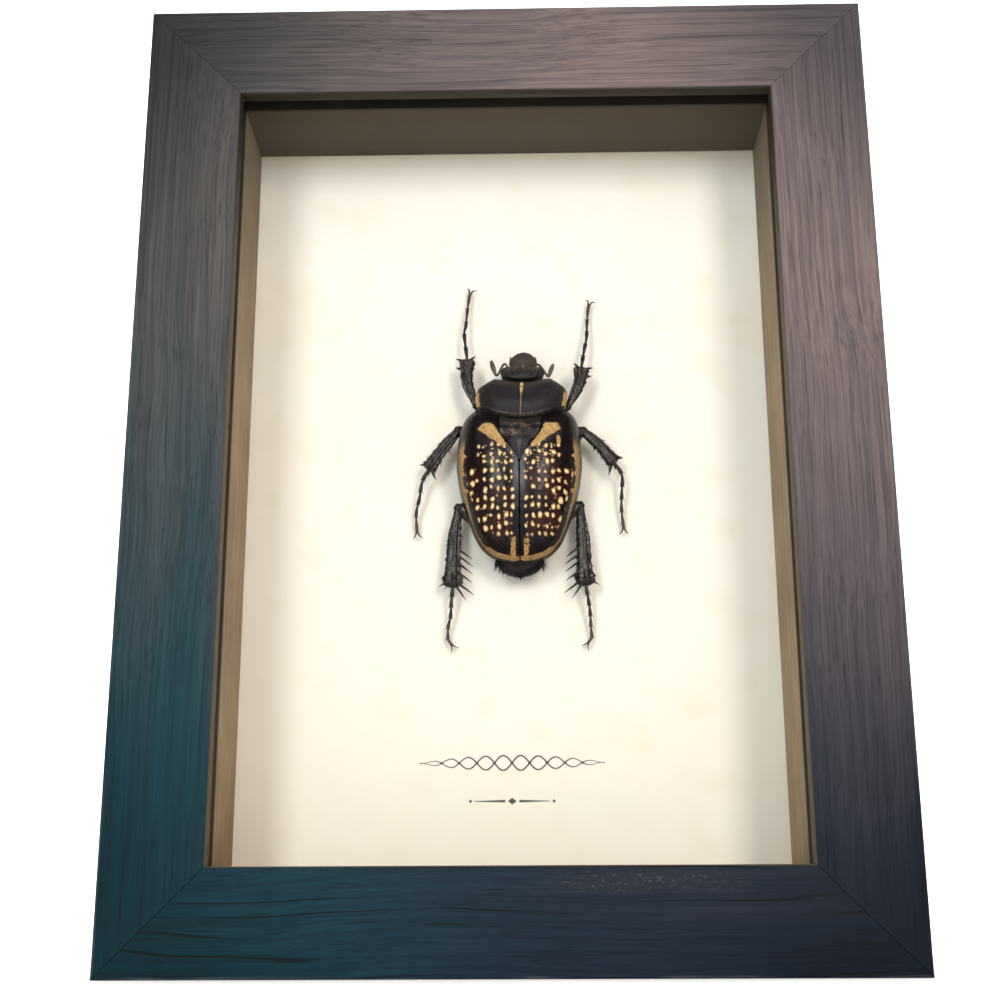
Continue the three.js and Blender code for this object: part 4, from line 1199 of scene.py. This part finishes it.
class MakeMoulding(bpy.types.Operator):
    """Make the four mitred lengths of the frame"""
    bl_idname = "beetle_frame.moulding"
    bl_label = "Moulding"

    def execute(self, context):
        settings = context.scene.beetle_frame
        for seed, name in enumerate(("rail_top", "rail_bottom", "stile_left", "stile_right"), 1):
            bold = 1.0 if name == "rail_bottom" else 0.3
            wood = stained_wood_with_painted_reflection("stained_wood_with_painted_reflection_" + name, name.startswith("stile"), seed, bold, settings)
            settle("moulding", name, moulding_shape(name, settings), wood)
        return {"FINISHED"}


class MakeBox(bpy.types.Operator):
    """Finish the glass, the box walls, the card and the backing board"""
    bl_idname = "beetle_frame.box"
    bl_label = "Glass, Walls and Card"

    def execute(self, context):
        walls, mount = context.scene.beetle_frame, context.scene.beetle_mount
        coat(glass_sheet(), "glass")
        # The top wall's board is darkened for painted shade.
        coat(wall_board("painted_shade_top_wall_board", walls.painted_shade_top_wall), "spacer_top")
        coat(wall_board("brown_wall_board", walls.wall), "spacer_bottom", "spacer_left", "spacer_right")
        coat(ivory_card(mount), "mount_card")
        coat(backing(mount), "backing_board")
        return {"FINISHED"}


class MakeFixings(bpy.types.Operator):
    """Make the points that hold the board, the hanger and its nails"""
    bl_idname = "beetle_frame.fixings"
    bl_label = "Points and Hanger"

    def execute(self, context):
        steel = plated_steel(context.scene.beetle_mount)
        points = [f"point_{side}_{i}" for side in ("left", "right") for i in (1, 2, 3)]
        for name in [*points, "hanger"]:
            settle("steel", name, sheet_metal_shape(name), steel, 30)
        for name in ("hanger_nail_left", "hanger_nail_right"):
            settle("steel", name, nail_shape(name), steel, 50)
        return {"FINISHED"}


class MakeBody(bpy.types.Operator):
    """Make the beetle's head, pronotum, scutellum and underside"""
    bl_idname = "beetle_frame.body"
    bl_label = "Beetle Body"

    def execute(self, context):
        settings = context.scene.beetle_body
        shell = dark_shell(settings)
        settle("beetle", "head", head_shape(), shell, 60)
        settle("beetle", "pronotum", pronotum_shape(), pronotum_shell(settings), 60)
        settle("beetle", "scutellum", scutellum_shape(), shell, 60)
        settle("beetle", "abdomen_and_thorax", belly_shape(settings.bristle / MM), shell, 60)
        return {"FINISHED"}


class MakeWingCases(bpy.types.Operator):
    """Make the two spotted wing cases"""
    bl_idname = "beetle_frame.wing_cases"
    bl_label = "Wing Cases"

    def execute(self, context):
        shell = wing_case_shell(context.scene.beetle_body)
        for side, name in ((-1, "wing_case_left"), (1, "wing_case_right")):
            settle("beetle", name, wing_case_shape(side), shell, 50)
        return {"FINISHED"}


class MakeLimbs(bpy.types.Operator):
    """Make the six legs and the two antennae"""
    bl_idname = "beetle_frame.limbs"
    bl_label = "Legs and Antennae"

    def execute(self, context):
        shell = limb_shell("ridged_limb", 0.0, context.scene.beetle_body)
        for name, spec in LEGS.items():
            settle("beetle", name, leg_shape(name, spec), shell, 60)
        shell = limb_shell("brown_antenna", 0.45, context.scene.beetle_body)
        for name, spec in ANTENNAE.items():
            settle("beetle", name, antenna_shape(spec), shell, 60)
        return {"FINISHED"}


class MakeStage(bpy.types.Operator):
    """Make the pale floor, the backdrop, the lights and the camera"""
    bl_idname = "beetle_frame.stage"
    bl_label = "Stage"

    def execute(self, context):
        settings = context.scene.beetle_stage
        finish = Finish("pale_paper")
        grain = finish.clouds(0.02, 3.0).rises(0.3, 0.7)
        finish.base = finish.blend(grain, (0.90, 0.90, 0.90), (0.93, 0.93, 0.925))
        paper = finish.done(
            roughness=0.9, specular_ior_level=0.1, emission_color=(1, 1, 1), emission_strength=0.3)
        sweep = smooth_mesh("pale_sweep", sweep_shape(), 60, paper)

        middle = (0, 0, 0.1)
        soft_box("key_box", (0.0, -1.05, 0.85), middle, (0.9, 0.5), settings.key, (1.0, 0.985, 0.96))
        soft_box("left_box", (-0.46, -1.2, 0.36), middle, (0.3, 0.5), settings.side, (0.90, 0.98, 1.0))
        soft_box("right_box", (0.46, -1.2, 0.36), middle, (0.3, 0.5), settings.side, (1.0, 0.95, 0.90))
        soft_box("backdrop_box", (0, 0.25, 1.5), (0, 0.85, 0.4), (1.8, 0.5), settings.key * 20, (1, 1, 1))

        air = bpy.data.worlds.new("soft_surroundings")
        air.use_nodes = True
        background = air.node_tree.nodes["Background"].inputs
        background["Color"].default_value = (1, 1, 1, 1)
        background["Strength"].default_value = settings.air
        context.scene.world = air
        context.scene.view_settings.view_transform = "Standard"

        right = CAMERA_AHEAD.cross(CAMERA_UP).normalized()
        up = right.cross(CAMERA_AHEAD).normalized()
        turn = Matrix((right, up, -CAMERA_AHEAD.normalized())).transposed()
        camera = bpy.data.cameras.new("camera")
        camera.sensor_width, camera.lens = SENSOR, SENSOR * FOCAL_PIXELS / IMAGE_PIXELS
        camera.clip_start = 0.01
        viewer = bpy.data.objects.new("camera", camera)
        viewer.matrix_world = Matrix.Translation(CAMERA_EYE) @ turn.to_4x4()
        context.scene.collection.objects.link(viewer)
        context.scene.camera = viewer
        return {"FINISHED"}


class BEETLEFRAME_PT_pieces(bpy.types.Panel):
    """Pieces of the framed beetle and their settings"""
    bl_label = "Framed Beetle"
    bl_space_type = "VIEW_3D"
    bl_region_type = "UI"
    bl_category = "Beetle Frame"

    def draw(self, context):
        for maker in MAKERS:
            self.layout.operator(maker.bl_idname)
        for group in GROUPS:
            box = self.layout.box()
            for name in GROUPS[group].__annotations__:
                box.prop(getattr(context.scene, group), name)


GROUPS = {
    "beetle_frame": FrameSettings,
    "beetle_mount": MountSettings,
    "beetle_body": BeetleSettings,
    "beetle_stage": StageSettings,
}
MAKERS = (MakeMoulding, MakeBox, MakeFixings, MakeBody, MakeWingCases, MakeLimbs, MakeStage)


def register():
    for item in (*GROUPS.values(), *MAKERS, BEETLEFRAME_PT_pieces):
        bpy.utils.register_class(item)
    for name, group in GROUPS.items():
        setattr(bpy.types.Scene, name, bpy.props.PointerProperty(type=group))


def unregister():
    for name in GROUPS:
        delattr(bpy.types.Scene, name)
    for item in (BEETLEFRAME_PT_pieces, *reversed(MAKERS), *reversed(list(GROUPS.values()))):
        bpy.utils.unregister_class(item)


def main():
    register()
    for maker in MAKERS:
        family, name = maker.bl_idname.split(".")
        getattr(getattr(bpy.ops, family), name)()


if __name__ == "__main__":
    main()
